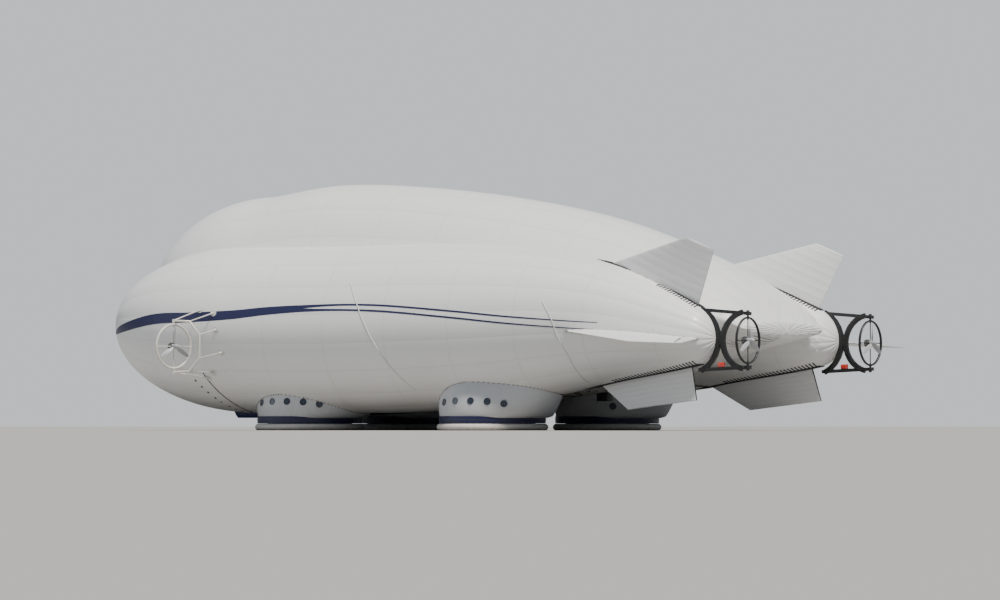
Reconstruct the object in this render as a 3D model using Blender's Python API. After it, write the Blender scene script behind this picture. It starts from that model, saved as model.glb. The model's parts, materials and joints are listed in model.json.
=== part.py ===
"""Three-lobed hybrid airship on four air-cushion pads, with swivelling ducted thrusters.

Metres, +Z up. The nose points along -X and the port side along -Y. The origin lies on the
floor, under the middle of the airship's length and width.
"""

import math

import bmesh
import bpy
from mathutils import Matrix, Vector

# Gap between surfaces that touch on the real airship.
SEAT = 0.0003
# How far a joined piece laps into its neighbour, and how far a cutter runs past what it cuts.
LAP, PAST = 0.02, 1.0
SIDES = (("port", -1), ("starboard", 1))

# Envelope: two outer lobes and a taller centre lobe between them, of coated fabric.
FABRIC = 0.010
LOBE_SIDES = 24
NOSE_STEPS = 6
BODY_STEPS = 9
CAP_STEPS = 3
# Outer lobes, along the hull: nose tip, end of the round nose, start of the taper, start of the
# round stern. Then the greatest radius, the radius at the round stern, and the taper's power.
OUTER_LOBE = {"nose": -18.75, "shoulder": -10.5, "taper": -2.0, "cap": 15.95,
              "radius": 4.1, "cap_radius": 1.38, "power": 2.3}
# Their centre line: x, y out from the middle, z.
OUTER_LINE = ((-18.75, 3.75, 5.20), (-12.0, 4.15, 4.98), (-4.0, 4.45, 4.92), (4.0, 4.75, 5.05),
              (11.0, 5.20, 5.08), (17.3, 5.90, 4.30))
# Opening between each outer lobe and the centre lobe, hidden where they meet: x, z, size.
PASSAGE_X, PASSAGE_Z, PASSAGE_SIZE = -4.0, 5.6, 0.5
# Centre lobe: tips of the nose and the tail as x and z, and its sections as x, lowest z,
# highest z and half width. The first section is the end of the round nose.
CENTRE_NOSE, CENTRE_TAIL = (-19.0, 6.3), (17.35, 4.7)
CENTRE_LINE = ((-12.0, 1.50, 11.70, 4.40), (-8.0, 1.60, 12.20, 4.55), (-3.5, 1.65, 12.05, 4.60),
               (2.3, 1.62, 11.40, 4.60), (8.2, 1.85, 10.20, 4.45), (13.3, 3.20, 8.30, 4.40),
               (15.4, 3.85, 7.10, 4.40))
CENTRE_END = ((16.6, 4.15, 6.10, 4.25), (17.15, 4.38, 5.25, 3.80))
# Height of the seam between the centre lobe's crown and its belly.
SEAM_Z = 4.5
# Dark box under the belly, between the rear pads: low and high corner.
BELLY_BOX = ((7.15, -0.70, 1.42), (7.75, -0.15, 2.60))

# Landing pads: name, x, y out from the middle.
PADS = (("front", -7.05, 4.45), ("rear", 4.10, 5.30))
PAD_SIDES = 24
LIP_RADIUS, LIP_TUBE, LIP_TUBE_SIDES = 2.53, 0.17, 8
BAND_OUTER, BAND_WALL, BAND_TOP = 2.57, 0.12, 0.70
PAN_FLOOR, PAN_SKIRT, PAN_WALL, PAN_LOW, PAN_HIGH = 1.90, 0.43, 0.05, 0.12, 0.50
# Fairing above each pad: z, half width, reach aft of the pad's centre.
FAIRING = ((BAND_TOP + SEAT, 2.54, 3.10), (1.10, 2.58, 3.40), (1.60, 2.52, 3.70),
           (2.10, 2.34, 4.00), (2.70, 1.90, 4.30))
FAIRING_STEPS = 24

# Ducted thrusters, drawn about their own centre with the duct's axis along X.
DUCT_RADIUS, DUCT_WALL, DUCT_CHORD, DUCT_SIDES = 1.12, 0.09, 0.13, 24
KINGPIN_RADIUS, KINGPIN_LENGTH, SOCKET_RADIUS = 0.045, 0.05, 0.0765
ENGINE_SIZE = (0.36, 0.36, 0.38)
ENGINE_X = -0.14
SPOKE_X, SPOKE_CHORD, SPOKE_THICK = -0.01, 0.09, 0.035
HUB_RADIUS, HUB_LENGTH, SPINNER_LENGTH = 0.12, 0.14, 0.20
BLADES = 3
# One blade: distance from the shaft, chord, pitch in degrees, thickness.
BLADE = ((0.08, 0.12, 62, 0.040), (0.35, 0.22, 44, 0.030), (0.65, 0.21, 30, 0.022),
         (0.99, 0.13, 22, 0.012))

# Thruster places: x, y out from the middle, z, degrees that the duct's outlet is turned outboard.
BOW_THRUSTER = (-11.7, 9.45, 4.10, 16)
STERN_THRUSTER = (18.62, 5.90, 4.22, 0)

# Bow yoke: a bent tube from the upper kingpin round the back of the duct to the lower one.
YOKE_TUBE = 0.05
YOKE_TURN = 21
# Yoke corners: distance behind the kingpins, height above the duct's centre.
YOKE = ((0.0, 1.26), (0.80, 1.22), (1.30, 0.58), (1.30, -0.58), (0.80, -1.22), (0.0, -1.26))
STRUT_TUBE = 0.035
# Struts: yoke corner, then how far aft, inboard and up the strut's end on the hull lies.
STRUTS = ((0, 0.85, 1.60, 0.68), (1, 1.30, 1.55, 0.70), (2, 1.00, 1.25, 0.45), (3, 1.20, 1.30, 0.45),
          (4, 0.60, 2.20, -0.10), (5, 0.90, 2.40, -0.35))

# Stern frame: a flat lattice in the thruster's own vertical plane. Its two arcs meet in a waist.
FRAME_WIDTH, FRAME_BAR, FRAME_WAIST, BEAM_DEEP = 0.16, 0.24, 0.46, 0.16
# How far the beams run past the kingpins, and the cradle's height above the duct's centre.
BEAM_PAST, CRADLE_RISE = 0.16, 0.05
CRADLE_RADIUS, CRADLE_SPREAD = 1.47, 66
HUG_RADIUS, HUG_SPREAD = 1.24, 78
# Straps that tie the frame to the lobe: start x of the upper and of the lower one.
STRAP_START = {"upper": 9.9, "lower": 9.2}
STRAP_WIDTH, STRAP_RISE, STRAP_SINK, STRAP_PAST, STRAP_STEPS = 0.26, 0.05, 0.12, 0.10, 8
# Red lamp box on the lower beam: start and end along the beam, as shares of its length, and height.
LAMP_START, LAMP_END, LAMP_HEIGHT, LAMP_WIDTH = 0.375, 0.50, 0.22, 0.14

# Fins, as the corners of each outline: leading root, leading tip, trailing tip, trailing root.
# Each corner is x, y out from the middle, z; then come the thicknesses at the root and the tip.
FINS = {
    "upper": (((10.5, 5.10, 7.90), (15.47, 6.20, 9.10), (16.98, 6.20, 8.48), (15.8, 5.75, 5.70)),
              0.34, 0.10),
    "side": (((9.6, 7.90, 4.75), (15.2, 11.10, 4.15), (17.9, 10.90, 4.05), (16.2, 6.20, 4.35)),
             0.36, 0.10),
    "lower": (((9.9, 5.05, 2.30), (12.0, 5.75, 0.98), (15.9, 5.95, 1.42), (15.5, 5.70, 3.20)),
              0.26, 0.10),
}
FIN_SIDES = 5

# Gondola: a slim blue body under the belly. The cabin in front is let into the belly up to its roof.
CABIN_FRONT, CABIN_BACK, CABIN_LOW, CABIN_FLOOR, CABIN_ROOF = -13.9, -8.9, 0.62, 0.87, 2.25
CABIN_RAKE, CABIN_WALL = 0.5, 0.05
GONDOLA_HALF_LOW, GONDOLA_HALF, GONDOLA_BILGE = 0.72, 0.80, 0.16
# Equipment bay behind the cabin: x, lowest z.
BAY_LINE = ((-8.9 + SEAT, 0.66), (-5.0, 0.82), (-2.4, 0.98), (0.7, 0.98), (1.9, 1.55))
BAY_HIGH = 2.6
# Open frames in the underside, of the cabin and of the bay: front, back, depth; then their rungs.
CABIN_FRAME, BAY_FRAME = (-12.8, -9.2, 0.20), (-2.3, 0.6, 0.20)
FRAME_HALF, RUNGS, RUNG_LONG, RUNG_DEEP, RUNG_UP = 0.60, 6, 0.09, 0.06, 0.03
DOOR_FRONT, DOOR_BACK, DOOR_LOW, DOOR_HIGH = -10.65, -9.75, 0.90, 1.56
DOOR_CLEAR = 0.012
# The hatch drops open about an axis below its lower edge and outside the skin.
HINGE_OUT, HINGE_DROP, HINGE_RADIUS, HINGE_LENGTH = 0.04, 0.03, 0.02, 0.10
# The hatch's arms: lowest and highest z above the axis, and the top of the knuckle.
ARM_LOW, ARM_HIGH, KNUCKLE_HIGH = 0.05, 0.18, 0.08
HINGE_PLACES = (-10.55, -10.05)
WINDOW_LOW, WINDOW_HIGH, WINDSCREEN_HALF = 1.05, 1.50, 0.66
# Side windows of the cabin: front edge, back edge.
SIDE_WINDOWS = ((-13.6, -12.5), (-12.3, -11.2))

COLOURS = {
    # name: colour, roughness, metallic
    "hull_fabric": ((0.86, 0.86, 0.85), 0.55, 0.0),
    "pad_fabric": ((0.72, 0.73, 0.75), 0.60, 0.0),
    "navy_fabric": ((0.03, 0.04, 0.16), 0.55, 0.0),
    "skirt_rubber": ((0.09, 0.06, 0.05), 0.80, 0.0),
    "carbon": ((0.02, 0.02, 0.02), 0.40, 0.0),
    "white_metal": ((0.80, 0.79, 0.76), 0.35, 0.0),
    "engine_metal": ((0.30, 0.30, 0.32), 0.45, 0.9),
    "blade_grey": ((0.35, 0.36, 0.38), 0.45, 0.0),
    "fin_skin": ((0.84, 0.84, 0.83), 0.50, 0.0),
    "gondola_paint": ((0.03, 0.05, 0.22), 0.35, 0.0),
    "window_glass": ((0.10, 0.12, 0.14), 0.10, 0.0),
    "lamp_red": ((0.70, 0.05, 0.03), 0.30, 0.0),
}


def clear_scene():
    """Remove whatever the scene holds."""
    for item in list(bpy.data.objects):
        bpy.data.objects.remove(item, do_unlink=True)


def make_material(name):
    """Return the named material, made once."""
    found = bpy.data.materials.get(name)
    if found:
        return found
    colour, roughness, metallic = COLOURS[name]
    material = bpy.data.materials.new(name)
    material.use_nodes = True
    shader = material.node_tree.nodes["Principled BSDF"]
    shader.inputs["Base Color"].default_value = (*colour, 1.0)
    shader.inputs["Roughness"].default_value = roughness
    shader.inputs["Metallic"].default_value = metallic
    return material


def add_object(name, verts, faces):
    """Link a new mesh object with its faces turned outwards."""
    mesh = bpy.data.meshes.new(name)
    mesh.from_pydata([tuple(v) for v in verts], [], faces)
    shape = bmesh.new()
    shape.from_mesh(mesh)
    bmesh.ops.recalc_face_normals(shape, faces=shape.faces)
    shape.to_mesh(mesh)
    shape.free()
    thing = bpy.data.objects.new(name, mesh)
    bpy.context.scene.collection.objects.link(thing)
    return thing


def finish(thing, material, angle=35):
    """Give a finished piece its one material and smooth shading with sharp edges."""
    thing.data.materials.clear()
    thing.data.materials.append(make_material(material))
    thing.data.shade_smooth()
    thing.data.set_sharp_from_angle(angle=math.radians(angle))
    return thing


def combine(target, tool, operation, keep_tool=False):
    """Unite or cut two solids and keep the result in the first."""
    step = target.modifiers.new(operation, "BOOLEAN")
    step.operation = operation
    step.solver = "EXACT"
    step.object = tool
    view = bpy.context.evaluated_depsgraph_get()
    result = bpy.data.meshes.new_from_object(target.evaluated_get(view))
    target.modifiers.clear()
    target.data = result
    if not keep_tool:
        bpy.data.objects.remove(tool, do_unlink=True)
    return target


def unite(pieces):
    """Unite several solids into the first."""
    for piece in pieces[1:]:
        combine(pieces[0], piece, "UNION")
    return pieces[0]


def box(name, low, high):
    """A box between two corners."""
    corners = [(x, y, z) for x in (low[0], high[0]) for y in (low[1], high[1])
               for z in (low[2], high[2])]
    faces = [(0, 1, 3, 2), (4, 6, 7, 5), (0, 4, 5, 1), (2, 3, 7, 6), (0, 2, 6, 4), (1, 5, 7, 3)]
    return add_object(name, corners, faces)


def loft(name, rings):
    """A closed skin through rings of the same number of points, with both ends capped."""
    count = len(rings[0])
    verts = [point for ring in rings for point in ring]
    faces = []
    for start in range(0, count * (len(rings) - 1), count):
        for i in range(count):
            j = (i + 1) % count
            faces.append((start + i, start + j, start + count + j, start + count + i))
    faces.append(tuple(range(count)))
    faces.append(tuple(range(len(verts) - count, len(verts))))
    return add_object(name, verts, faces)


def turn(name, profile, sides, centre=(0, 0, 0), axis="Z"):
    """Turn a profile of (radius, height) points; it is a closed loop unless it meets the axis."""
    open_ends = profile[0][0] == 0
    rows = []
    verts = []
    for radius, height in profile:
        if radius == 0:
            rows.append([len(verts)] * sides)
            verts.append((0, 0, height))
            continue
        rows.append([len(verts) + i for i in range(sides)])
        for i in range(sides):
            angle = math.tau * i / sides
            verts.append((radius * math.cos(angle), radius * math.sin(angle), height))
    if not open_ends:
        rows.append(rows[0])
    faces = []
    for low, high in zip(rows, rows[1:]):
        for i in range(sides):
            j = (i + 1) % sides
            corners = dict.fromkeys((low[i], low[j], high[j], high[i]))
            faces.append(tuple(corners))
    if axis == "X":
        verts = [(z, x, y) for x, y, z in verts]
    return add_object(name, [Vector(v) + Vector(centre) for v in verts], faces)


def tube(name, start, end, radius, sides=8):
    """A straight round bar between two points."""
    start, end = Vector(start), Vector(end)
    lean = (end - start).to_track_quat("Z", "Y").to_matrix()
    rings = []
    for place in (start, end):
        ring = [place + lean @ Vector((radius * math.cos(math.tau * i / sides),
                                       radius * math.sin(math.tau * i / sides), 0))
                for i in range(sides)]
        rings.append(ring)
    return loft(name, rings)


def bent_tube(name, corners, radius, across, sides=8):
    """A round tube bent in one plane through the corners; across is square to that plane."""
    rings = []
    for k, corner in enumerate(corners):
        before, after = corners[max(k - 1, 0)], corners[min(k + 1, len(corners) - 1)]
        runs = [run.normalized() for run in (corner - before, after - corner) if run.length > 0]
        along = (runs[0] + runs[-1]).normalized()
        out = across.cross(along) / along.dot(runs[0])
        rings.append([corner + radius * (across * math.cos(math.tau * i / sides)
                                         + out * math.sin(math.tau * i / sides))
                      for i in range(sides)])
    return loft(name, rings)


def flow(table, x):
    """Smooth values at x along a table whose first column is x."""
    last = len(table) - 1
    i = max(k for k in range(last) if table[k][0] <= x or k == 0)
    t = (x - table[i][0]) / (table[i + 1][0] - table[i][0])
    values = []
    for column in range(1, len(table[0])):
        def slope(k):
            before, after = table[max(k - 1, 0)], table[min(k + 1, last)]
            return (after[column] - before[column]) / (after[0] - before[0])
        step = table[i + 1][0] - table[i][0]
        values.append((2 * t**3 - 3 * t**2 + 1) * table[i][column]
                      + (t**3 - 2 * t**2 + t) * step * slope(i)
                      + (3 * t**2 - 2 * t**3) * table[i + 1][column]
                      + (t**3 - t**2) * step * slope(i + 1))
    return values


def taper_radius(lobe, x):
    """Radius of a lobe between its shoulder and its round stern."""
    share = max(x - lobe["taper"], 0) / (lobe["cap"] - lobe["taper"])
    return lobe["radius"] - (lobe["radius"] - lobe["cap_radius"]) * share ** lobe["power"]


def outer_rings():
    """Nose tip, rings and stern tip of an outer lobe; a ring is x, y, z, half width, half height."""
    lobe = OUTER_LOBE
    nose = lobe["shoulder"] - lobe["nose"]
    points = []
    for i in range(1, NOSE_STEPS + 1):
        angle = math.pi / 2 * i / NOSE_STEPS
        points.append((lobe["shoulder"] - nose * math.cos(angle), lobe["radius"] * math.sin(angle)))
    length = lobe["cap"] - lobe["shoulder"]
    for i in range(1, BODY_STEPS + 1):
        x = lobe["shoulder"] + length * (1 - (1 - i / BODY_STEPS) ** 1.25)
        points.append((x, taper_radius(lobe, x)))
    fall = lobe["power"] * (lobe["radius"] - lobe["cap_radius"]) / (lobe["cap"] - lobe["taper"])
    lean = math.atan(fall)
    ball = lobe["cap_radius"] / math.cos(lean)
    centre = lobe["cap"] - ball * math.sin(lean)
    for i in range(1, CAP_STEPS):
        angle = lean + (math.pi / 2 - lean) * i / CAP_STEPS
        points.append((centre + ball * math.sin(angle), ball * math.cos(angle)))
    rings = [(x, *flow(OUTER_LINE, x), radius, radius) for x, radius in points]
    tips = [(x, *flow(OUTER_LINE, x)) for x in (lobe["nose"], centre + ball)]
    return tips[0], rings, tips[1]


def centre_rings():
    """Nose tip, rings and tail tip of the centre lobe, whose sections are ellipses."""
    shoulder, low, high, half = CENTRE_LINE[0]
    nose_x, nose_z = CENTRE_NOSE
    rings = []
    for i in range(1, NOSE_STEPS):
        angle = math.pi / 2 * i / NOSE_STEPS
        share = math.sin(angle)
        z = nose_z + ((low + high) / 2 - nose_z) * share
        rings.append((shoulder - (shoulder - nose_x) * math.cos(angle), 0, z, half * share,
                      (high - low) / 2 * share))
    length = CENTRE_LINE[-1][0] - shoulder
    sections = [(x, *flow(CENTRE_LINE, x)) for x in
                [shoulder + length * i / BODY_STEPS for i in range(BODY_STEPS + 1)]]
    for x, low, high, half in [*sections, *CENTRE_END]:
        rings.append((x, 0, (low + high) / 2, half, (high - low) / 2))
    return (nose_x, 0, nose_z), rings, (CENTRE_TAIL[0], 0, CENTRE_TAIL[1])


def make_lobe(name, shape, side, swell):
    """One lobe as a closed solid, its skin moved outwards by swell."""
    nose, rings, tail = shape
    verts = [(nose[0], side * nose[1], nose[2])]
    for x, y, z, half_width, half_height in rings:
        for i in range(LOBE_SIDES):
            angle = math.tau * (i + 0.5) / LOBE_SIDES
            verts.append((x, side * y + half_width * math.sin(angle), z + half_height * math.cos(angle)))
    verts.append((tail[0], side * tail[1], tail[2]))
    faces = []
    last = len(verts) - 1
    for i in range(LOBE_SIDES):
        j = (i + 1) % LOBE_SIDES
        faces.append((0, 1 + j, 1 + i))
        faces.append((last, last - LOBE_SIDES + i, last - LOBE_SIDES + j))
        for row in range(1, last - LOBE_SIDES, LOBE_SIDES):
            faces.append((row + i, row + j, row + LOBE_SIDES + j))
            faces.append((row + i, row + LOBE_SIDES + j, row + LOBE_SIDES + i))
    lobe = add_object(name, verts, faces)
    normals = [vertex.normal.copy() for vertex in lobe.data.vertices]
    for vertex, normal in zip(lobe.data.vertices, normals):
        vertex.co += normal * swell
    return lobe


def make_hull(name, swell):
    """The three lobes united, the skin moved outwards by swell."""
    lobes = [make_lobe(name, centre_rings(), 1, swell)]
    for side_name, side in SIDES:
        lobes.append(make_lobe("lobe_" + side_name, outer_rings(), side, swell))
    return unite(lobes)


def make_envelope():
    """The envelope: two outer lobes, and the crown and the belly of the centre lobe between them."""
    for side_name, side in SIDES:
        lobe = make_lobe("envelope_" + side_name, outer_rings(), side, 0)
        combine(lobe, make_lobe("inside", outer_rings(), side, -FABRIC), "DIFFERENCE")
        half = PASSAGE_SIZE / 2
        inner = side * (flow(OUTER_LINE, PASSAGE_X)[0] - OUTER_LOBE["radius"])
        passage = box("passage", (PASSAGE_X - half, inner - half, PASSAGE_Z - half),
                      (PASSAGE_X + half, inner + half, PASSAGE_Z + half))
        combine(lobe, passage, "DIFFERENCE")
        finish(lobe, "hull_fabric")
    reach = PAST - CENTRE_NOSE[0]
    spans = {"envelope_crown": (SEAM_Z + SEAT, reach), "envelope_belly": (0, SEAM_Z)}
    for name, (low, high) in spans.items():
        part = make_lobe(name, centre_rings(), 1, 0)
        combine(part, box("span", (-reach, -reach, low), (reach, reach, high)), "INTERSECT")
        combine(part, make_lobe("inside", centre_rings(), 1, -FABRIC), "DIFFERENCE")
        for side_name, side in SIDES:
            combine(part, make_lobe("lobe_" + side_name, outer_rings(), side, SEAT), "DIFFERENCE")
        if name == "envelope_belly":
            combine(part, cabin_length("cabin_seat", CABIN_LOW, CABIN_ROOF, SEAT), "DIFFERENCE")
        finish(part, "hull_fabric")


def teardrop(x, y, z, half, reach):
    """A level outline, round in front and drawn out aft."""
    ring = []
    for i in range(FAIRING_STEPS):
        angle = math.tau * i / FAIRING_STEPS
        aft = math.cos(angle)
        length = reach if aft > 0 else half
        narrow = 1 - 0.22 * aft * (reach / half - 1) if aft > 0 else 1
        ring.append(Vector((x + length * aft, y + half * narrow * math.sin(angle), z)))
    return ring


def make_pad(name, x, y, hull_seat):
    """One landing pad: fairing, navy band, soft lip and the pan of the air cushion."""
    fairing = loft("pad_fairing_" + name, [teardrop(x, y, z, half, reach) for z, half, reach in FAIRING])
    combine(fairing, hull_seat, "DIFFERENCE", keep_tool=True)
    finish(fairing, "pad_fabric")

    tube_angles = [math.tau * (i + 0.5) / LIP_TUBE_SIDES for i in range(LIP_TUBE_SIDES)]
    flat = LIP_TUBE * math.cos(math.pi / LIP_TUBE_SIDES)
    lip = [(LIP_RADIUS + LIP_TUBE * math.cos(a), flat + LIP_TUBE * math.sin(a)) for a in tube_angles]
    finish(turn("pad_lip_" + name, lip, PAD_SIDES, (x, y, 0)), "pad_fabric")

    low = 2 * flat + SEAT
    band = [(BAND_OUTER, low), (BAND_OUTER, BAND_TOP), (BAND_OUTER - BAND_WALL, BAND_TOP),
            (BAND_OUTER - BAND_WALL, low)]
    finish(turn("pad_band_" + name, band, PAD_SIDES, (x, y, 0)), "navy_fabric")

    rim = LIP_RADIUS - flat - SEAT
    pan = [(0, PAN_HIGH), (PAN_FLOOR, PAN_HIGH), (PAN_FLOOR + PAN_SKIRT, PAN_LOW), (rim, PAN_LOW),
           (rim, PAN_LOW + PAN_WALL), (PAN_FLOOR + PAN_WALL / 2, PAN_HIGH + PAN_WALL),
           (0, PAN_HIGH + PAN_WALL)]
    finish(turn("pad_skirt_" + name, pan, PAD_SIDES, (x, y, 0)), "skirt_rubber")


def make_empty(name, place, parent=None, turn_z=0.0):
    """A joint's own empty, at its axis."""
    empty = bpy.data.objects.new(name, None)
    bpy.context.scene.collection.objects.link(empty)
    empty.location = place
    empty.rotation_euler = (0, 0, math.radians(turn_z))
    empty.parent = parent
    return empty


def make_duct(name):
    """Duct ring with its kingpins and the four spokes that carry the engine."""
    half = DUCT_CHORD / 2
    inner = DUCT_RADIUS - DUCT_WALL
    middle = DUCT_RADIUS - DUCT_WALL / 2
    section = [(middle, -half), (DUCT_RADIUS, -half * 0.6), (DUCT_RADIUS, half * 0.6), (middle, half),
               (inner, half * 0.6), (inner, -half * 0.6)]
    pieces = [turn(name, section, DUCT_SIDES, axis="X")]
    for end in (-1, 1):
        start = (0, 0, end * middle)
        tip = (0, 0, end * (DUCT_RADIUS + KINGPIN_LENGTH))
        pieces.append(tube("kingpin", start, tip, KINGPIN_RADIUS))
        for axis in (1, 2):
            seat = ENGINE_SIZE[axis] / 2 + SEAT
            reach = sorted((end * seat, end * middle))
            low = [SPOKE_X - SPOKE_CHORD / 2, -SPOKE_THICK / 2, -SPOKE_THICK / 2]
            high = [SPOKE_X + SPOKE_CHORD / 2, SPOKE_THICK / 2, SPOKE_THICK / 2]
            low[axis], high[axis] = reach
            pieces.append(box("spoke", low, high))
    return unite(pieces)


def make_blade(angle):
    """One propeller blade, turned to its place round the shaft."""
    rings = []
    spin = Matrix.Rotation(angle, 3, "X")
    shaft = ENGINE_X + ENGINE_SIZE[0] / 2 + SEAT + HUB_LENGTH / 2
    for radius, chord, pitch, thick in BLADE:
        twist = Matrix.Rotation(math.radians(pitch), 3, "Z")
        corners = ((0, -chord / 2), (thick / 2, -chord / 6), (thick / 2, chord / 6), (0, chord / 2),
                   (-thick / 2, chord / 6), (-thick / 2, -chord / 6))
        rings.append([spin @ (twist @ Vector((a, b, 0)) + Vector((0, 0, radius))) + Vector((shaft, 0, 0))
                      for a, b in corners])
    return loft("blade", rings)


def make_propeller(name):
    """Hub, spinner and blades as one turning piece."""
    back = ENGINE_X + ENGINE_SIZE[0] / 2 + SEAT
    front = back + HUB_LENGTH
    profile = [(0, back), (HUB_RADIUS, back), (HUB_RADIUS, front),
               (HUB_RADIUS * 0.75, front + SPINNER_LENGTH * 0.55), (0, front + SPINNER_LENGTH)]
    pieces = [turn(name, profile, 12, axis="X")]
    pieces += [make_blade(math.tau * i / BLADES) for i in range(BLADES)]
    return unite(pieces)


def make_thruster(end, side_name, side, place):
    """A swivelling duct with its engine, and the propeller on its own axis."""
    x, y, z, outboard = place
    label = end + "_thruster_" + side_name
    swivel = make_empty(label + "_swivel", (x, side * y, z), None, side * outboard)
    shaft = make_empty(label + "_shaft", (0, 0, 0), swivel)
    duct = finish(make_duct(end + "_duct_" + side_name), "white_metal" if end == "bow" else "carbon")
    half = [size / 2 for size in ENGINE_SIZE]
    engine = box(end + "_engine_" + side_name, (ENGINE_X - half[0], -half[1], -half[2]),
                 (ENGINE_X + half[0], half[1], half[2]))
    finish(engine, "engine_metal")
    duct.parent = swivel
    engine.parent = swivel
    propeller = finish(make_propeller(end + "_propeller_" + side_name), "blade_grey")
    propeller.parent = shaft


def make_bow_mount(side_name, side, hull_seat):
    """Yoke of bent tube that holds the duct's kingpins, with struts to the hull."""
    x, y, z, _ = BOW_THRUSTER
    aft = math.radians(YOKE_TURN)
    corners = [Vector((x + reach * math.cos(aft), side * (y - reach * math.sin(aft)), z + up))
               for reach, up in YOKE]
    across = Vector((math.sin(aft), side * math.cos(aft), 0))
    pieces = [bent_tube("bow_mount_" + side_name, corners, YOKE_TUBE, across)]
    seat = DUCT_RADIUS + KINGPIN_LENGTH + SEAT
    for end in (-1, 1):
        socket = tube("socket", (x, side * y, z + end * seat),
                      (x, side * y, z + end * (YOKE[0][1] + YOKE_TUBE + LAP)), SOCKET_RADIUS)
        pieces.append(socket)
    for corner, back, inward, up in STRUTS:
        start = corners[corner]
        pieces.append(tube("strut", start, start + Vector((back, -side * inward, up)), STRUT_TUBE, 6))
    mount = unite(pieces)
    combine(mount, hull_seat, "DIFFERENCE", keep_tool=True)
    return finish(mount, "white_metal")


def arc_bar(name, centre, radius, start, end, steps, side_y):
    """A bent bar in the frame's plane, from one angle to another in degrees from +X."""
    rings = []
    half = FRAME_WIDTH / 2
    for i in range(steps + 1):
        angle = math.radians(start + (end - start) * i / steps)
        ray = Vector((math.cos(angle), 0, math.sin(angle)))
        middle = Vector((centre[0], side_y, centre[1]))
        inner, outer = middle + ray * radius, middle + ray * (radius + FRAME_BAR)
        across = Vector((0, half, 0))
        rings.append([inner - across, inner + across, outer + across, outer - across])
    return loft(name, rings)


def beam(name, start, end, side_y, deep, wide):
    """A straight bar of the frame between two (x, z) points."""
    run = Vector((end[0] - start[0], 0, end[1] - start[1])).normalized()
    up = Vector((-run.z, 0, run.x)) * deep / 2
    across = Vector((0, wide / 2, 0))
    rings = []
    for x, z in (start, end):
        place = Vector((x, side_y, z))
        rings.append([place - up - across, place - up + across, place + up + across, place + up - across])
    return loft(name, rings)


def make_lamp(side_name, start, end, side_y):
    """Red lamp box that stands on the frame's lower beam."""
    run = end - start
    rise = Vector((-run.y, run.x)).normalized() * ((BEAM_DEEP + LAMP_HEIGHT) / 2 + SEAT)
    lamp = beam("stern_lamp_" + side_name, start + run * LAMP_START + rise,
                start + run * LAMP_END + rise, side_y, LAMP_HEIGHT, LAMP_WIDTH)
    return finish(lamp, "lamp_red")


def make_stern_frame(side_name, side, hull_seat, straps):
    """Flat lattice that carries the stern duct between its upper and lower beams."""
    x, y, z, _ = STERN_THRUSTER
    side_y = side * y
    name = "stern_frame_" + side_name
    cradle = (x - HUG_RADIUS - FRAME_WAIST - CRADLE_RADIUS, z + CRADLE_RISE)
    pieces = [arc_bar(name, (x, z), HUG_RADIUS, 180 - HUG_SPREAD, 180 + HUG_SPREAD, 14, side_y)]
    pieces.append(arc_bar("cradle", cradle, CRADLE_RADIUS, -CRADLE_SPREAD, CRADLE_SPREAD, 10, side_y))
    pin = DUCT_RADIUS + KINGPIN_LENGTH + SEAT + BEAM_DEEP / 2
    lift = math.sin(math.radians(CRADLE_SPREAD)) * CRADLE_RADIUS
    front = cradle[0] + math.cos(math.radians(CRADLE_SPREAD)) * CRADLE_RADIUS
    for end in (-1, 1):
        start = (front - BEAM_DEEP / 2, cradle[1] + end * (lift + BEAM_DEEP / 2))
        stop = (x + BEAM_PAST, z + end * pin)
        pieces.append(beam("beam", start, stop, side_y, BEAM_DEEP, FRAME_WIDTH))
        if end == -1:
            make_lamp(side_name, Vector(start), Vector(stop), side_y)
        pieces.append(tube("socket", (x, side_y, z + end * (pin - BEAM_DEEP / 2)),
                           (x, side_y, z + end * (pin + BEAM_DEEP)), SOCKET_RADIUS))
    frame = unite(pieces)
    for tool in [hull_seat, *straps]:
        combine(frame, tool, "DIFFERENCE", keep_tool=True)
    return finish(frame, "carbon")


def make_strap(level, side_name, side, spare):
    """Strap of the frame along the ridge or the keel of an outer lobe, made spare thicker."""
    sign = 1 if level == "upper" else -1
    start, end = STRAP_START[level] - spare, OUTER_LOBE["cap"] + STRAP_PAST + spare
    rings = []
    for i in range(STRAP_STEPS + 1):
        x = start + (end - start) * i / STRAP_STEPS
        y, z = flow(OUTER_LINE, x)
        skin = taper_radius(OUTER_LOBE, x)
        low, high = z + sign * (skin - STRAP_SINK), z + sign * (skin + STRAP_RISE + spare)
        half = STRAP_WIDTH / 2 + spare
        rings.append([Vector((x, side * y - half, low)), Vector((x, side * y + half, low)),
                      Vector((x, side * y + half, high)), Vector((x, side * y - half, high))])
    return loft("stern_strap_" + level + "_" + side_name, rings)


def make_fin(kind, side_name, side, hull_seat, straps):
    """A fin with a lens-shaped section, seated on the hull."""
    corners, root_thick, tip_thick = FINS[kind]
    lead_root, lead_tip, trail_tip, trail_root = [Vector((x, side * y, z)) for x, y, z in corners]
    face = (lead_tip - lead_root).cross(trail_root - lead_root).normalized()
    rings = []
    for lead, trail, thick in ((lead_root, trail_root, root_thick), (lead_tip, trail_tip, tip_thick)):
        upper, lower = [], []
        for i in range(FIN_SIDES + 1):
            share = i / FIN_SIDES
            swell = thick / 2 * (0.12 + 0.88 * math.sin(math.pi * share ** 0.7))
            upper.append(lead.lerp(trail, share) + face * swell)
            lower.append(lead.lerp(trail, share) - face * swell)
        rings.append(upper + lower[::-1])
    fin = loft("fin_" + kind + "_" + side_name, rings)
    for tool in [hull_seat, *straps]:
        combine(fin, tool, "DIFFERENCE", keep_tool=True)
    return finish(fin, "fin_skin")


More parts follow.
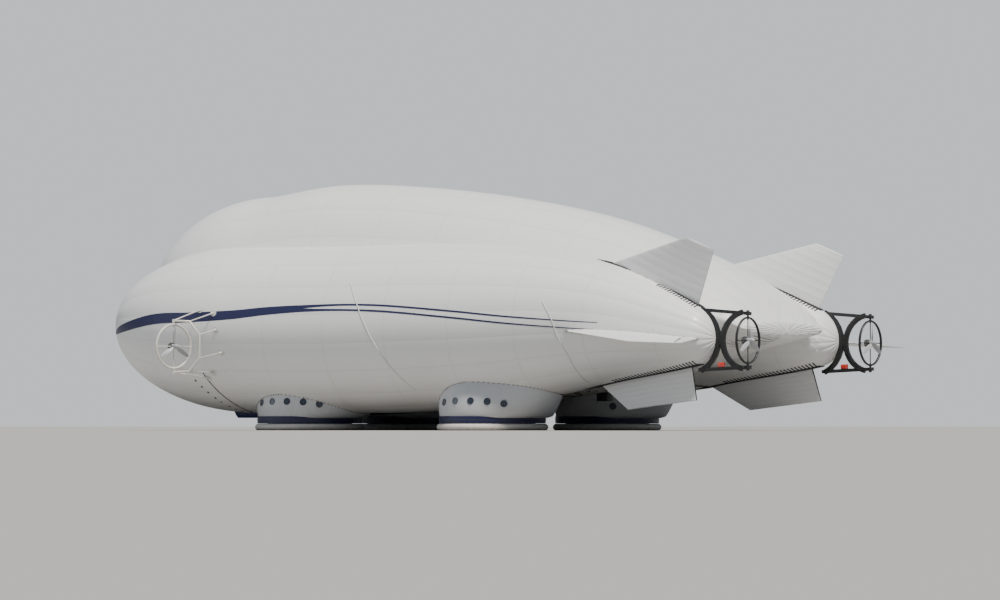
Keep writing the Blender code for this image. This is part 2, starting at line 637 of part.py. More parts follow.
def gondola_section(x, low, high, rake=0.0, spare=0.0):
    """Cross-section of the gondola at x, leaning forward with height by the rake."""
    half_low, half = GONDOLA_HALF_LOW + spare, GONDOLA_HALF + spare
    low, high = low - spare, high + spare
    corners = ((-half_low, low), (half_low, low), (half, low + GONDOLA_BILGE), (half, high),
               (-half, high), (-half, low + GONDOLA_BILGE))
    return [Vector((x - rake * (z - CABIN_LOW), y, z)) for y, z in corners]


def cabin_length(name, low, high, spare=0.0):
    """The cabin's outline between two heights, made spare larger."""
    return loft(name, [gondola_section(CABIN_FRONT - spare, low, high, CABIN_RAKE, spare),
                       gondola_section(CABIN_BACK + spare, low, high, 0.0, spare)])


def cabin_walls(name):
    """The cabin's walls with the room left out."""
    walls = cabin_length(name, CABIN_LOW, CABIN_ROOF)
    room = cabin_length("room", CABIN_FLOOR - CABIN_WALL, CABIN_ROOF, -CABIN_WALL)
    return combine(walls, room, "DIFFERENCE")


def wall_piece(name, low, high, gap):
    """What fills an opening of the cabin's walls, with a gap all round."""
    piece = cabin_walls(name)
    inner = box("inner", [v + gap for v in low], [v - gap for v in high])
    return combine(piece, inner, "INTERSECT")


def open_frame(body, place, underside):
    """Hollow out the underside of a body and cross the hollow with rungs."""
    front, back, depth = place
    hollow = box("hollow", (front, -FRAME_HALF, underside - PAST), (back, FRAME_HALF, underside + depth))
    combine(body, hollow, "DIFFERENCE")
    step = (back - front) / RUNGS
    for i in range(RUNGS):
        x = front + step * (i + 0.5)
        low = underside + RUNG_UP
        rung = box("rung", (x - RUNG_LONG / 2, -FRAME_HALF - LAP, low),
                   (x + RUNG_LONG / 2, FRAME_HALF + LAP, low + RUNG_DEEP))
        combine(body, rung, "UNION")


def make_hatch(cabin, low, high):
    """The cabin's hatch, hinged along its lower edge."""
    hatch = wall_piece("gondola_door", low, high, DOOR_CLEAR)
    y, z = -GONDOLA_HALF - HINGE_OUT, DOOR_LOW - HINGE_DROP
    for x in HINGE_PLACES:
        end = x + HINGE_LENGTH
        combine(cabin, tube("barrel", (x, y, z), (end, y, z), HINGE_RADIUS), "UNION")
        combine(cabin, box("bracket", (x, y, z - HINGE_RADIUS), (end, LAP - GONDOLA_HALF, z)), "UNION")
        start, stop = end + SEAT, end + SEAT + HINGE_LENGTH
        knuckle = box("knuckle", (start, y - HINGE_RADIUS, z - HINGE_RADIUS),
                      (stop, y + HINGE_RADIUS, z + KNUCKLE_HIGH))
        arm = box("arm", (start, y - HINGE_RADIUS, z + ARM_LOW), (stop, LAP - GONDOLA_HALF, z + ARM_HIGH))
        combine(hatch, unite([knuckle, arm]), "UNION")
    hinge = Vector((DOOR_FRONT, y, z))
    axis = make_empty("gondola_door_hinge", hinge)
    hatch.data.transform(Matrix.Translation(-hinge))
    hatch.parent = axis
    finish(hatch, "gondola_paint")


def make_gondola(hull_seat):
    """Cabin with its windows and hatch, and the equipment bay behind it."""
    cabin = cabin_walls("gondola_cabin")
    open_frame(cabin, CABIN_FRAME, CABIN_LOW)
    reach = GONDOLA_HALF + PAST
    openings = {"gondola_windscreen": ((CABIN_FRONT - PAST, -WINDSCREEN_HALF, WINDOW_LOW),
                                       (CABIN_FRONT, WINDSCREEN_HALF, WINDOW_HIGH))}
    for side_name, side in SIDES:
        y_low, y_high = sorted((side * reach, side * WINDSCREEN_HALF))
        for i, (window_front, window_back) in enumerate(SIDE_WINDOWS):
            name = "gondola_window_%d_%s" % (i + 1, side_name)
            openings[name] = ((window_front, y_low, WINDOW_LOW), (window_back, y_high, WINDOW_HIGH))
    for name, (low, high) in openings.items():
        combine(cabin, box("opening", low, high), "DIFFERENCE")
        finish(wall_piece(name, low, high, SEAT), "window_glass")
    low = (DOOR_FRONT, -reach, DOOR_LOW)
    high = (DOOR_BACK, -WINDSCREEN_HALF, DOOR_HIGH)
    combine(cabin, box("doorway", low, high), "DIFFERENCE")
    make_hatch(cabin, low, high)
    finish(cabin, "gondola_paint")

    bay = loft("gondola_bay", [gondola_section(x, low, BAY_HIGH) for x, low in BAY_LINE])
    combine(bay, hull_seat, "DIFFERENCE", keep_tool=True)
    open_frame(bay, BAY_FRAME, BAY_LINE[2][1])
    finish(bay, "gondola_paint")
    belly_box = box("belly_box", *BELLY_BOX)
    combine(belly_box, hull_seat, "DIFFERENCE", keep_tool=True)
    finish(belly_box, "carbon")


def main():
    clear_scene()
    hull_seat = make_hull("hull_seat", SEAT)
    make_envelope()
    for side_name, side in SIDES:
        for end, x, y in PADS:
            make_pad(end + "_" + side_name, x, side * y, hull_seat)
        straps = []
        for level in STRAP_START:
            strap = make_strap(level, side_name, side, 0)
            combine(strap, hull_seat, "DIFFERENCE", keep_tool=True)
            finish(strap, "carbon")
            straps.append(make_strap(level, side_name, side, SEAT))
        for kind in FINS:
            make_fin(kind, side_name, side, hull_seat, straps)
        make_stern_frame(side_name, side, hull_seat, straps)
        for strap in straps:
            bpy.data.objects.remove(strap, do_unlink=True)
        make_bow_mount(side_name, side, hull_seat)
        make_thruster("bow", side_name, side, BOW_THRUSTER)
        make_thruster("stern", side_name, side, STERN_THRUSTER)
    make_gondola(hull_seat)
    bpy.data.objects.remove(hull_seat, do_unlink=True)


main()
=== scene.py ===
import json
import math

import bpy
from mathutils import Matrix, Vector


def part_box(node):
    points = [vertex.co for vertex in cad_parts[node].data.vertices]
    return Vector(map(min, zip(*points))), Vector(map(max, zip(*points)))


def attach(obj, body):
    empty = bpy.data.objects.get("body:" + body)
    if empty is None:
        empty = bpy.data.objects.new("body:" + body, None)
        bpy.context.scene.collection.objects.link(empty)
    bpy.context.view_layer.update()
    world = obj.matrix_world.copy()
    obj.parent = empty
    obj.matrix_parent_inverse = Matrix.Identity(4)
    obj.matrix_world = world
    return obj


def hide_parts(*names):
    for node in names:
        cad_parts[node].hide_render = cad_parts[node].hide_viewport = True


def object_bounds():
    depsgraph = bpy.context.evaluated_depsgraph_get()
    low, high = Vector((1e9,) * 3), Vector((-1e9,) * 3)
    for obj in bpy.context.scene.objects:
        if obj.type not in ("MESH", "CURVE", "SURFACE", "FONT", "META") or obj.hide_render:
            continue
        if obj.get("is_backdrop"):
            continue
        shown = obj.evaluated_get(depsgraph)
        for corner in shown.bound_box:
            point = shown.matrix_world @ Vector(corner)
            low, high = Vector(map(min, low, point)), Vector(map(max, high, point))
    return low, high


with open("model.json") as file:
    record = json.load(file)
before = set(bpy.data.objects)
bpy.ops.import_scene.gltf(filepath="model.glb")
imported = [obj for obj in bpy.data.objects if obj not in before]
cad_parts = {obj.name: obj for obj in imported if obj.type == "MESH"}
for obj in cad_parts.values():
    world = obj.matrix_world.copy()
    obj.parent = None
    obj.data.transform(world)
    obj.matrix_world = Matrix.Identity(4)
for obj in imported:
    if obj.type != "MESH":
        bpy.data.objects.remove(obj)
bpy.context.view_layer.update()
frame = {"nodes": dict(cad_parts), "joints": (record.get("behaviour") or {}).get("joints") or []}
nodes = frame["nodes"]
joint_at = {joint["name"]: Vector(joint["pos_m"]) for joint in frame["joints"]}

# The gas envelope: three lobes of white coated fabric, welded from long gores with a tape over
# each seam. Pressure holds the lobes round, and they meet in creases along inner webs.
SIDES = (("port", -1), ("starboard", 1))
OUTER_NOSE, OUTER_SHOULDER, OUTER_TAPER, OUTER_CAP = -18.75, -10.5, -2.0, 15.95
OUTER_RADIUS, OUTER_CAP_RADIUS, TAPER_POWER = 4.1, 1.38, 2.3
# Middle line of an outer lobe: x, y out from the middle, z.
OUTER_LINE = ((-18.75, 3.75, 5.20), (-12.0, 4.15, 4.98), (-4.0, 4.45, 4.92), (4.0, 4.75, 5.05),
              (11.0, 5.20, 5.08), (17.3, 5.90, 4.30))
# Sections of the centre lobe: x, lowest z, highest z, half width.
CENTRE_NOSE, CENTRE_TAIL = (-19.0, 6.3), (17.35, 4.7)
CENTRE_LINE = ((-12.0, 1.50, 11.70, 4.40), (-8.0, 1.60, 12.20, 4.55), (-3.5, 1.65, 12.05, 4.60),
               (2.3, 1.62, 11.40, 4.60), (8.2, 1.85, 10.20, 4.45), (13.3, 3.20, 8.30, 4.40),
               (15.4, 3.85, 7.10, 4.40), (16.6, 4.15, 6.10, 4.25), (17.15, 4.38, 5.25, 3.80))
LOBE_SIDES, GORES, RING_PITCH = 96, 18, 3.6
NOSE_STEPS, OUTER_STEPS, CAP_STEPS, CENTRE_STEPS, TAIL_STEPS = 24, 40, 12, 60, 6
# The solid's flat sides lie between this share of the lobe's radius and the whole of it.
ROUND_SHARE = 0.996
FABRIC_WHITE, FABRIC_TAPE = (0.80, 0.805, 0.80, 1), (0.70, 0.71, 0.71, 1)
# The warm grey-brown below is painted shade: the tint of the underside in shade, lit from the ground.
FABRIC_UNDER_SHADE, COAT_ROUGHNESS = (0.50, 0.44, 0.36, 1), 0.15
# Tucks fan out across the tail's lower edge on the port side, from a centre at this x and this y.
# They lie between these distances from the middle, between these x, and below this height.
TUCK_FAN, TUCK_OUT, TUCK_ALONG, TUCK_TOP = (16.8, 1.8), (0.1, 2.9), (15.3, 17.3), 4.85


def pick(*things):
    """Select these objects alone; the first is the active one."""
    bpy.ops.object.select_all(action="DESELECT")
    for thing in things:
        thing.select_set(True)
    bpy.context.view_layer.objects.active = things[0]


def added(name):
    """Name the object that was just added, and return it."""
    thing = bpy.context.object
    thing.name = thing.data.name = name
    return thing


def skin(name, rows, closed=True):
    """A grid laid through rows of points, with doubles merged and faces turned outwards."""
    if closed:
        rows = [[*row, row[0]] for row in rows]
    bpy.ops.object.select_all(action="DESELECT")
    bpy.ops.mesh.primitive_grid_add(x_subdivisions=len(rows[0]) - 1, y_subdivisions=len(rows) - 1)
    thing = added(name)
    places = [value for row in rows for point in row for value in point]
    thing.data.vertices.foreach_set("co", places)
    bpy.ops.object.mode_set(mode="EDIT")
    bpy.ops.mesh.select_all(action="SELECT")
    bpy.ops.mesh.remove_doubles(threshold=0.0001)
    bpy.ops.mesh.normals_make_consistent(inside=False)
    bpy.ops.object.mode_set(mode="OBJECT")
    return thing


def apply_step(thing, kind, **settings):
    """Add one modifier with its settings and apply it."""
    pick(thing)
    step = thing.modifiers.new(kind.title(), kind)
    for setting, value in settings.items():
        setattr(step, setting, value)
    bpy.ops.object.modifier_apply(modifier=step.name)


def settle(thing, material, body="airframe", angle=35):
    """Fix a piece's place in its mesh, smooth it, and give it its material, slot and body."""
    pick(thing)
    bpy.ops.object.transform_apply()
    bpy.ops.object.shade_smooth_by_angle(angle=math.radians(angle))
    if not thing.data.materials:
        thing.data.materials.append(material)
    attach(thing, body)


def flow(table, x):
    """Smooth values at x along a table whose first column is x."""
    last = len(table) - 1
    i = max(k for k in range(last) if table[k][0] <= x or k == 0)
    step = table[i + 1][0] - table[i][0]
    t = (x - table[i][0]) / step
    values = []
    for column in range(1, len(table[0])):
        def slope(k):
            before, after = table[max(k - 1, 0)], table[min(k + 1, last)]
            return (after[column] - before[column]) / (after[0] - before[0])
        values.append((2 * t**3 - 3 * t**2 + 1) * table[i][column]
                      + (t**3 - 2 * t**2 + t) * step * slope(i)
                      + (3 * t**2 - 2 * t**3) * table[i + 1][column]
                      + (t**3 - t**2) * step * slope(i + 1))
    return values


def outer_radius(x):
    """Radius of an outer lobe at x."""
    if x < OUTER_SHOULDER:
        share = (OUTER_SHOULDER - x) / (OUTER_SHOULDER - OUTER_NOSE)
        return OUTER_RADIUS * ROUND_SHARE * math.sqrt(max(0, 1 - share**2))
    share = max(x - OUTER_TAPER, 0) / (OUTER_CAP - OUTER_TAPER)
    return (OUTER_RADIUS - (OUTER_RADIUS - OUTER_CAP_RADIUS) * share**TAPER_POWER) * ROUND_SHARE


def on_lobe(side, x, degrees, lift=0.0):
    """The point of an outer lobe at x, by its angle outboard from the top."""
    y, z = flow(OUTER_LINE, x)
    angle = math.radians(degrees)
    radius = outer_radius(x) + lift
    return Vector((x, side * (y + radius * math.sin(angle)), z + radius * math.cos(angle)))


def ring(x, y, z, half_width, half_height):
    """One section of a lobe."""
    angles = [math.tau * i / LOBE_SIDES for i in range(LOBE_SIDES)]
    return [Vector((x, y + half_width * math.sin(a), z + half_height * math.cos(a))) for a in angles]


def outer_sections(side):
    """Sections of an outer lobe from its nose tip to its round stern, as x, y, z and radius."""
    angles = [math.pi / 2 * i / NOSE_STEPS for i in range(NOSE_STEPS + 1)]
    line = [OUTER_SHOULDER - (OUTER_SHOULDER - OUTER_NOSE) * math.cos(angle) for angle in angles]
    line += [OUTER_SHOULDER + (OUTER_CAP - OUTER_SHOULDER) * i / OUTER_STEPS
             for i in range(1, OUTER_STEPS + 1)]
    places = [(x, outer_radius(x)) for x in line]
    fall = TAPER_POWER * (OUTER_RADIUS - OUTER_CAP_RADIUS) / (OUTER_CAP - OUTER_TAPER)
    lean = math.atan(fall)
    ball = OUTER_CAP_RADIUS * ROUND_SHARE / math.cos(lean)
    middle = OUTER_CAP - ball * math.sin(lean)
    for i in range(1, CAP_STEPS + 1):
        angle = lean + (math.pi / 2 - lean) * i / CAP_STEPS
        places.append((middle + ball * math.sin(angle), ball * math.cos(angle)))
    lined = [(x, *flow(OUTER_LINE, x), radius) for x, radius in places]
    return [(x, side * y, z, radius, radius) for x, y, z, radius in lined]


def centre_sections():
    """Sections of the centre lobe from its nose tip to its blunt, wedge-shaped tail."""
    shoulder, low, high, half = CENTRE_LINE[0]
    sections = []
    for i in range(NOSE_STEPS):
        angle = math.pi / 2 * i / NOSE_STEPS
        share = math.sin(angle) * ROUND_SHARE
        z = CENTRE_NOSE[1] + ((low + high) / 2 - CENTRE_NOSE[1]) * share
        x = shoulder - (shoulder - CENTRE_NOSE[0]) * math.cos(angle)
        sections.append((x, 0, z, half * share, (high - low) / 2 * share))
    end = CENTRE_LINE[-1][0]
    for i in range(CENTRE_STEPS + 1):
        x = shoulder + (end - shoulder) * i / CENTRE_STEPS
        low, high, half = flow(CENTRE_LINE, x)
        sections.append((x, 0, (low + high) / 2, half * ROUND_SHARE, (high - low) / 2 * ROUND_SHARE))
    x, y, z, half, tall = sections[-1]
    for i in range(1, TAIL_STEPS + 1):
        angle = math.pi / 2 * i / TAIL_STEPS
        share = math.cos(angle)
        reach = (CENTRE_TAIL[0] - end) * math.sin(angle)
        level = z + (CENTRE_TAIL[1] - z) * (1 - share)
        sections.append((x + reach, 0, level, half * share, tall * share))
    return sections


class Tone:
    """A shader socket that can be written in sums, products and comparisons."""

    def __init__(self, tree, socket):
        self.tree, self.socket = tree, socket

    def feed(self, socket, value):
        """Link a tone to a socket, or set the socket to a plain value."""
        if isinstance(value, Tone):
            self.tree.links.new(value.socket, socket)
        else:
            socket.default_value = value

    def node(self, kind, inputs=None, out=0, **settings):
        """Add any node: its settings first, then the values or links of its sockets."""
        made = self.tree.nodes.new(kind)
        for setting, value in settings.items():
            setattr(made, setting, value)
        for name, value in (inputs or {}).items():
            self.feed(made.inputs[name], value)
        return Tone(self.tree, made.outputs[out])

    def maths(self, operation, first, second=0.0):
        return self.node("ShaderNodeMath", {0: first, 1: second}, operation=operation)

    def __add__(self, other):
        return self.maths("ADD", self, other)

    def __radd__(self, other):
        return self.maths("ADD", other, self)

    def __sub__(self, other):
        return self.maths("SUBTRACT", self, other)

    def __rsub__(self, other):
        return self.maths("SUBTRACT", other, self)

    def __mul__(self, other):
        return self.maths("MULTIPLY", self, other)

    def __rmul__(self, other):
        return self.maths("MULTIPLY", other, self)

    def __truediv__(self, other):
        return self.maths("DIVIDE", self, other)

    def __gt__(self, other):
        return self.maths("GREATER_THAN", self, other)

    def __lt__(self, other):
        return self.maths("LESS_THAN", self, other)

    def __abs__(self):
        return self.maths("ABSOLUTE", self)

    def fract(self):
        return self.maths("FRACT", self)

    def sine(self):
        return self.maths("SINE", self)

    def held(self):
        """The value kept between 0 and 1."""
        return self.node("ShaderNodeClamp", {0: self})

    def part(self, axis):
        """One of the three numbers of a place."""
        return self.node("ShaderNodeSeparateXYZ", {0: self}, out="XYZ".index(axis))

    def noise(self, scale, detail=3.0):
        return self.node("ShaderNodeTexNoise", {"Vector": self, "Scale": scale, "Detail": detail})

    def mix(self, below, above):
        """A colour between two, by this value."""
        return self.node("ShaderNodeMix", {0: self, 6: below, 7: above}, out=2, data_type="RGBA")

    def finish(self, colour, roughness, height=None, depth=0.01):
        """Feed the shader its colour and roughness, and a height in shares of depth metres."""
        shader = self.tree.nodes["Principled BSDF"]
        self.feed(shader.inputs["Base Color"], colour)
        self.feed(shader.inputs["Roughness"], roughness)
        if height:
            bump = self.node("ShaderNodeBump", {"Height": height, "Distance": depth, "Strength": 1.0})
            self.feed(shader.inputs["Normal"], bump)
        return self.material


def start_finish(name, metallic=0.0, coat=0.0):
    """A new material, as the object's own coordinates to pattern it by."""
    material = bpy.data.materials.new(name)
    material.use_nodes = True
    tree = material.node_tree
    shader = tree.nodes["Principled BSDF"]
    shader.inputs["Metallic"].default_value = metallic
    shader.inputs["Coat Weight"].default_value = coat
    shader.inputs["Coat Roughness"].default_value = COAT_ROUGHNESS
    place = Tone(tree, tree.nodes.new("ShaderNodeTexCoord").outputs["Object"])
    place.material = material
    return place


def seam(turns, width):
    """1 within width of each whole number, else 0."""
    return abs(turns.fract() - 0.5) > 0.5 - width / 2


place = start_finish("white_hull_fabric", coat=0.12)
along, height = place.part("X"), place.part("Z")
around = place.node("ShaderNodeUVMap", uv_map="UVMap").part("X") * GORES
tape = (seam(around, 0.045) + seam(along / RING_PITCH, 0.020)).held()
cloudy = place.noise(0.35)
streaks = place.node("ShaderNodeMapping", {"Vector": place, "Scale": (0.5, 2.2, 0.7)}).noise(1.6, 6)
# Painted shade: the fabric turns a warm grey-brown towards the bottom, the tint of its underside in
# shade and lit from the ground. The same mask makes it rougher there.
painted_under_shade = ((3.4 - height) / 4.2 + (cloudy - 0.5) * 0.5).held() * 0.55
colour = (cloudy * 0.5).mix(FABRIC_WHITE, (0.74, 0.755, 0.77, 1))
colour = (streaks.held() * 0.18).mix(colour, (0.66, 0.65, 0.63, 1))
colour = painted_under_shade.mix((tape * 0.55).mix(colour, FABRIC_TAPE), FABRIC_UNDER_SHADE)
pillow = (around.fract() * math.pi).sine() * 0.9
# Creases of the slack fabric that gathers round the tail.
aft = ((along - 12.5) / 4.5).held() * (1 - ((abs(place.part("Y")) - 4.6) / 1.2).held())
folds = place.node("ShaderNodeMapping", {"Vector": place, "Rotation": (0, 0.5, 0.35),
                                         "Scale": (0.5, 4.5, 2.2)}).noise(1.3, 2)
to_port = 0 - place.part("Y")
tucks = (along - TUCK_FAN[0]) / (to_port + TUCK_FAN[1]) * 13 + place.noise(0.8) * 0.5
tucked = (((TUCK_OUT[1] - to_port) / 0.5).held() * ((to_port - TUCK_OUT[0]) / 0.5).held()
          * ((along - TUCK_ALONG[0]) / 0.4).held() * ((TUCK_ALONG[1] - along) / 0.12).held()
          * ((TUCK_TOP - height) / 0.15).held())
# Painted shade: dark lines lie in the valleys of the tucks, where shade falls in the folds.
colour = (seam(tucks, 0.20) * tucked * 0.7).mix(colour, (0.16, 0.15, 0.14, 1))
relief = (pillow + tape * 0.25 + place.noise(1.1, 4) * 0.35 + folds * aft * 3.0
          + (tucks.fract() * math.pi).sine() * tucked * 5.0)
white_fabric = place.finish(colour, 0.42 + cloudy * 0.12 + painted_under_shade * 0.25 + tape * 0.05, relief, 0.022)

hull = skin("hull_fabric", [ring(*section) for section in centre_sections()])
for side_name, side in SIDES:
    lobe = skin("lobe_" + side_name, [ring(*section) for section in outer_sections(side)])
    apply_step(hull, "BOOLEAN", operation="UNION", solver="EXACT", object=lobe)
    bpy.data.objects.remove(lobe)
hull.data.materials.clear()
settle(hull, white_fabric, angle=40)
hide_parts("envelope_port", "envelope_starboard", "envelope_crown", "envelope_belly")

# Navy stripe along each side: a broad band from the nose that thins and parts into two fine lines.
# It is painted film, rolled onto the fabric.
# Middle of the stripe: x, z. Then the half width of the broad band: x, half width.
STRIPE_LINE = ((-18.35, 4.80), (-16.8, 5.09), (-14.1, 5.48), (-11.5, 5.54), (-9.0, 5.64),
               (-7.0, 5.80), (-4.8, 5.90), (-2.4, 5.93), (0.0, 5.85), (4.0, 5.52), (6.7, 5.26),
               (9.9, 5.02), (11.6, 4.92))
BAND_WIDTH = ((-18.35, 0.02), (-17.4, 0.17), (-15.0, 0.25), (-11.5, 0.24), (-8.0, 0.205),
              (-4.8, 0.165))
# The two fine lines: x, distance of each from the middle, half width.
LINE_WIDTH = ((-4.86, 0.083, 0.083), (-3.9, 0.105, 0.058), (-2.5, 0.125, 0.045), (0.0, 0.14, 0.045),
              (6.0, 0.16, 0.038), (11.6, 0.17, 0.015))
FILM, STRIPE_STEPS, NAVY = 0.006, 150, (0.003, 0.0035, 0.045, 1)


def grained(name, dark, pale, scale, rough, vary=0.0, depth=0.001, detail=3.0, coat=0.0):
    """A finish of one grain: it runs from one tint to the other, and roughens and lifts the surface."""
    place = start_finish(name, coat=coat)
    grain = place.noise(scale, detail)
    roughness = rough + grain * vary if vary else rough
    return place.finish(grain.mix(dark, pale), roughness, grain if depth else None, depth)


navy_film = grained("navy_film", NAVY, (0.006, 0.008, 0.075, 1), 6.0, 0.35, 0.15, 0.002, coat=0.05)


def side_strip(name, side, start, end, edges, lift):
    """A strip of film along the hull's side, through the heights that edges(x) gives."""
    rows = []
    for i in range(STRIPE_STEPS + 1):
        x = start + (end - start) * i / STRIPE_STEPS
        z, radius = flow(OUTER_LINE, x)[1], max(outer_radius(x), 0.01)
        turns = [math.acos(max(-1, min(1, (height - z) / radius))) for height in edges(x)]
        rows.append([on_lobe(side, x, math.degrees(turn), FILM) for turn in turns])
    strip = skin(name, rows, closed=False)
    apply_step(strip, "SHRINKWRAP", target=hull, wrap_method="NEAREST_SURFACEPOINT",
               wrap_mode="ABOVE_SURFACE", offset=lift)
    apply_step(strip, "SOLIDIFY", thickness=lift * 1.6, offset=-1.0)
    settle(strip, navy_film)


def spread(middle, half, count):
    return [middle + half * (2 * k / (count - 1) - 1) for k in range(count)]


for side_name, side in SIDES:
    side_strip("stripe_band_" + side_name, side, STRIPE_LINE[0][0], BAND_WIDTH[-1][0],
               lambda x: spread(flow(STRIPE_LINE, x)[0], flow(BAND_WIDTH, x)[0], 7), FILM)
    for level, sign in (("upper", 1), ("lower", -1)):
        side_strip("stripe_line_%s_%s" % (level, side_name), side, LINE_WIDTH[0][0], LINE_WIDTH[-1][0],
                   lambda x: spread(flow(STRIPE_LINE, x)[0] + sign * flow(LINE_WIDTH, x)[0],
                                    flow(LINE_WIDTH, x)[1], 3), FILM * 1.6)

# Landing pads: a fabric fairing over an inflated ring, a navy band round it, a soft round lip that
# seals on the ground, and a pleated skirt inside that the air is drawn through.
# The fairing's rows: z, half width, reach aft of the pad's middle.
FAIRING_ROWS = ((0.60, 2.50, 2.72), (0.68, 2.54, 3.06), (0.90, 2.565, 3.25), (1.20, 2.58, 3.45),
                (1.60, 2.52, 3.70), (2.10, 2.34, 4.00), (2.70, 1.90, 4.30), (2.95, 1.30, 4.0))
# How much the fairing narrows aft, and how far aft of the pad's middle it closes.
FAIRING_NARROWS, FAIRING_PEAK, FAIRING_SIDES, BAND_SIDES = 0.22, 1.5, 96, 128
# Rows of the band: radius, height. Rows of the skirt: radius, height, depth of its pleats.
BAND_PROFILE = ((2.44, 0.34), (2.555, 0.345), (2.575, 0.37), (2.565, 0.44), (2.585, 0.50), (2.57, 0.58),
                (2.575, 0.66), (2.555, 0.69), (2.44, 0.695), (2.44, 0.34))
SKIRT_PROFILE = ((2.36, 0.14, 0.0), (2.30, 0.15, 0.02), (2.18, 0.24, 0.10), (2.04, 0.35, 0.14),
                 (1.90, 0.46, 0.09), (1.78, 0.50, 0.03), (1.10, 0.52, 0.01), (0.42, 0.53, 0.0),
                 (0.40, 0.50, 0.0), (0.0, 0.50, 0.0))
PLEATS, SKIRT_THICK = 72, 0.012
LIP_TUBE, LIP_STEPS, LIP_SIDES, LIP_GATHERS = 0.172, 192, 20, 24
# Round ports in each fairing: degrees from straight ahead towards the outboard side, height.
PORTS = ((58, 1.36), (78, 1.42), (98, 1.42), (117, 1.38), (135, 1.27), (-128, 1.20))
PORT_RADIUS, PORT_REACH, PORT_DEPTH, PORT_RIM, PORT_STEP, PORT_DISH = 0.17, 2.6, 0.05, 0.03, 0.008, 0.02
JOINT_CORD, STITCH, STITCH_REACH = 0.022, 0.013, 0.065

place = start_finish("grey_pad_fabric")
scuffs = place.noise(7.0, 6)
low = ((1.5 - place.part("Z")) / 1.5).held()
colour = (place.noise(0.9) * 0.6).mix((0.60, 0.615, 0.64, 1), (0.50, 0.51, 0.535, 1))
colour = (low * scuffs).mix(colour, (0.36, 0.33, 0.28, 1))
weave = place.node("ShaderNodeTexBrick", {"Vector": place, "Scale": 22.0}, out=1)
relief = place.noise(2.2, 4) + scuffs * 0.2 + weave * 0.03
pad_fabric = place.finish(colour, 0.52 + scuffs * 0.15, relief, 0.02)

place = start_finish("navy_band_fabric", coat=0.05)
creases = place.node("ShaderNodeMapping", {"Vector": place, "Scale": (1, 1, 5)}).noise(3.5, 4)
stitch = seam(place.part("Z") / 0.17, 0.06)
colour = (creases * 0.7).mix(NAVY, (0.016, 0.020, 0.075, 1))
colour = (stitch * 0.5).mix(colour, (0.10, 0.11, 0.17, 1))
band_fabric = place.finish(colour, 0.38 + creases * 0.2, creases + stitch * 0.3, 0.012)

place = start_finish("pale_lip_fabric")
wear = place.noise(5.0, 6)
floor_dirt = ((0.16 - place.part("Z")) / 0.16).held()
colour = (wear * 0.5).mix((0.62, 0.60, 0.57, 1), (0.47, 0.44, 0.39, 1))
colour = (floor_dirt * wear * 1.3).held().mix(colour, (0.20, 0.165, 0.125, 1))
lip_fabric = place.finish(colour, 0.5 + wear * 0.25, wear)

place = start_finish("brown_skirt_rubber")
dust = place.noise(9.0, 5)
# Painted shade: towards the top of the pad's hollow the skirt darkens to near black, as shade falls
# inside it.
inner_shade = ((place.part("Z") - 0.44) / 0.06).held()
colour = dust.mix((0.028, 0.021, 0.015, 1), (0.11, 0.083, 0.058, 1))
colour = (inner_shade * 0.8).mix(colour, (0.012, 0.011, 0.010, 1))
skirt_rubber = place.finish(colour, 0.62 + dust * 0.25, dust, 0.008)

port_dark = grained("dark_port", (0.02, 0.028, 0.045, 1), (0.05, 0.065, 0.09, 1), 14.0, 0.16, 0.2,
                    coat=0.6)


def teardrop(middle, z, half, reach):
    """A level outline, round in front and drawn out aft."""
    row = []
    for i in range(FAIRING_SIDES):
        angle = math.tau * i / FAIRING_SIDES
        aft = math.cos(angle)
        length = reach if aft > 0 else half
        narrow = 1 - FAIRING_NARROWS * aft * (reach / half - 1) if aft > 0 else 1
        row.append(Vector((middle.x + length * aft, middle.y + half * narrow * math.sin(angle), z)))
    return row


def stand_on(thing, place, normal):
    """Turn a fitting so that its own Z follows the surface's normal, and put it there."""
    thing.matrix_world = Matrix.Translation(place) @ normal.to_track_quat("Z", "Y").to_matrix().to_4x4()


def make_port(name, target, place):
    """A round port: a dark dished disc in a raised rim, set square on the fabric."""
    _, spot, normal, _ = target.closest_point_on_mesh(place)
    bpy.ops.mesh.primitive_cylinder_add(vertices=32, radius=PORT_RADIUS, depth=PORT_DEPTH)
    port = added(name)
    bpy.ops.object.mode_set(mode="EDIT")
    bpy.ops.mesh.select_all(action="DESELECT")
    bpy.ops.object.mode_set(mode="OBJECT")
    for face in port.data.polygons:
        face.select = face.normal.z > 0.9
    bpy.ops.object.mode_set(mode="EDIT")
    bpy.ops.mesh.inset(thickness=PORT_RIM, depth=0.0)
    bpy.ops.mesh.inset(thickness=PORT_STEP, depth=-PORT_DISH)
    bpy.ops.object.mode_set(mode="OBJECT")
    stand_on(port, spot + normal * 0.006, normal)
    settle(port, port_dark)


def tube(name, radius, material, slot, *lines, body="airframe"):
    """Round cord along one or more lines, closed at the ends."""
    curve = bpy.data.curves.new(name, "CURVE")
    curve.dimensions = "3D"
    curve.bevel_depth, curve.bevel_resolution, curve.use_fill_caps = radius, 3, True
    for line in lines:
        spline = curve.splines.new("POLY")
        spline.points.add(len(line) - 1)
        for point, place in zip(spline.points, line):
            point.co = (*place, 1)
    thing = bpy.data.objects.new(name, curve)
    bpy.context.scene.collection.objects.link(thing)
    pick(thing)
    bpy.ops.object.convert(target="MESH")
    settle(added(name), material, body, 60)


def height_over_hull(point):
    _, spot, normal, _ = hull.closest_point_on_mesh(point)
    return (point - spot).dot(normal)


def meeting(path, steps=10):
    """Where a line of points first passes through the hull's skin, and the direction there."""
    for start, end in zip(path, path[1:]):
        if (start - end).length < 0.001:
            continue
        before = height_over_hull(start)
        for i in range(1, steps + 1):
            after = height_over_hull(start.lerp(end, i / steps))
            if (before > 0) != (after > 0):
                share = (i - 1 + before / (before - after)) / steps
                return start.lerp(end, share), (end - start).normalized()
            before = after


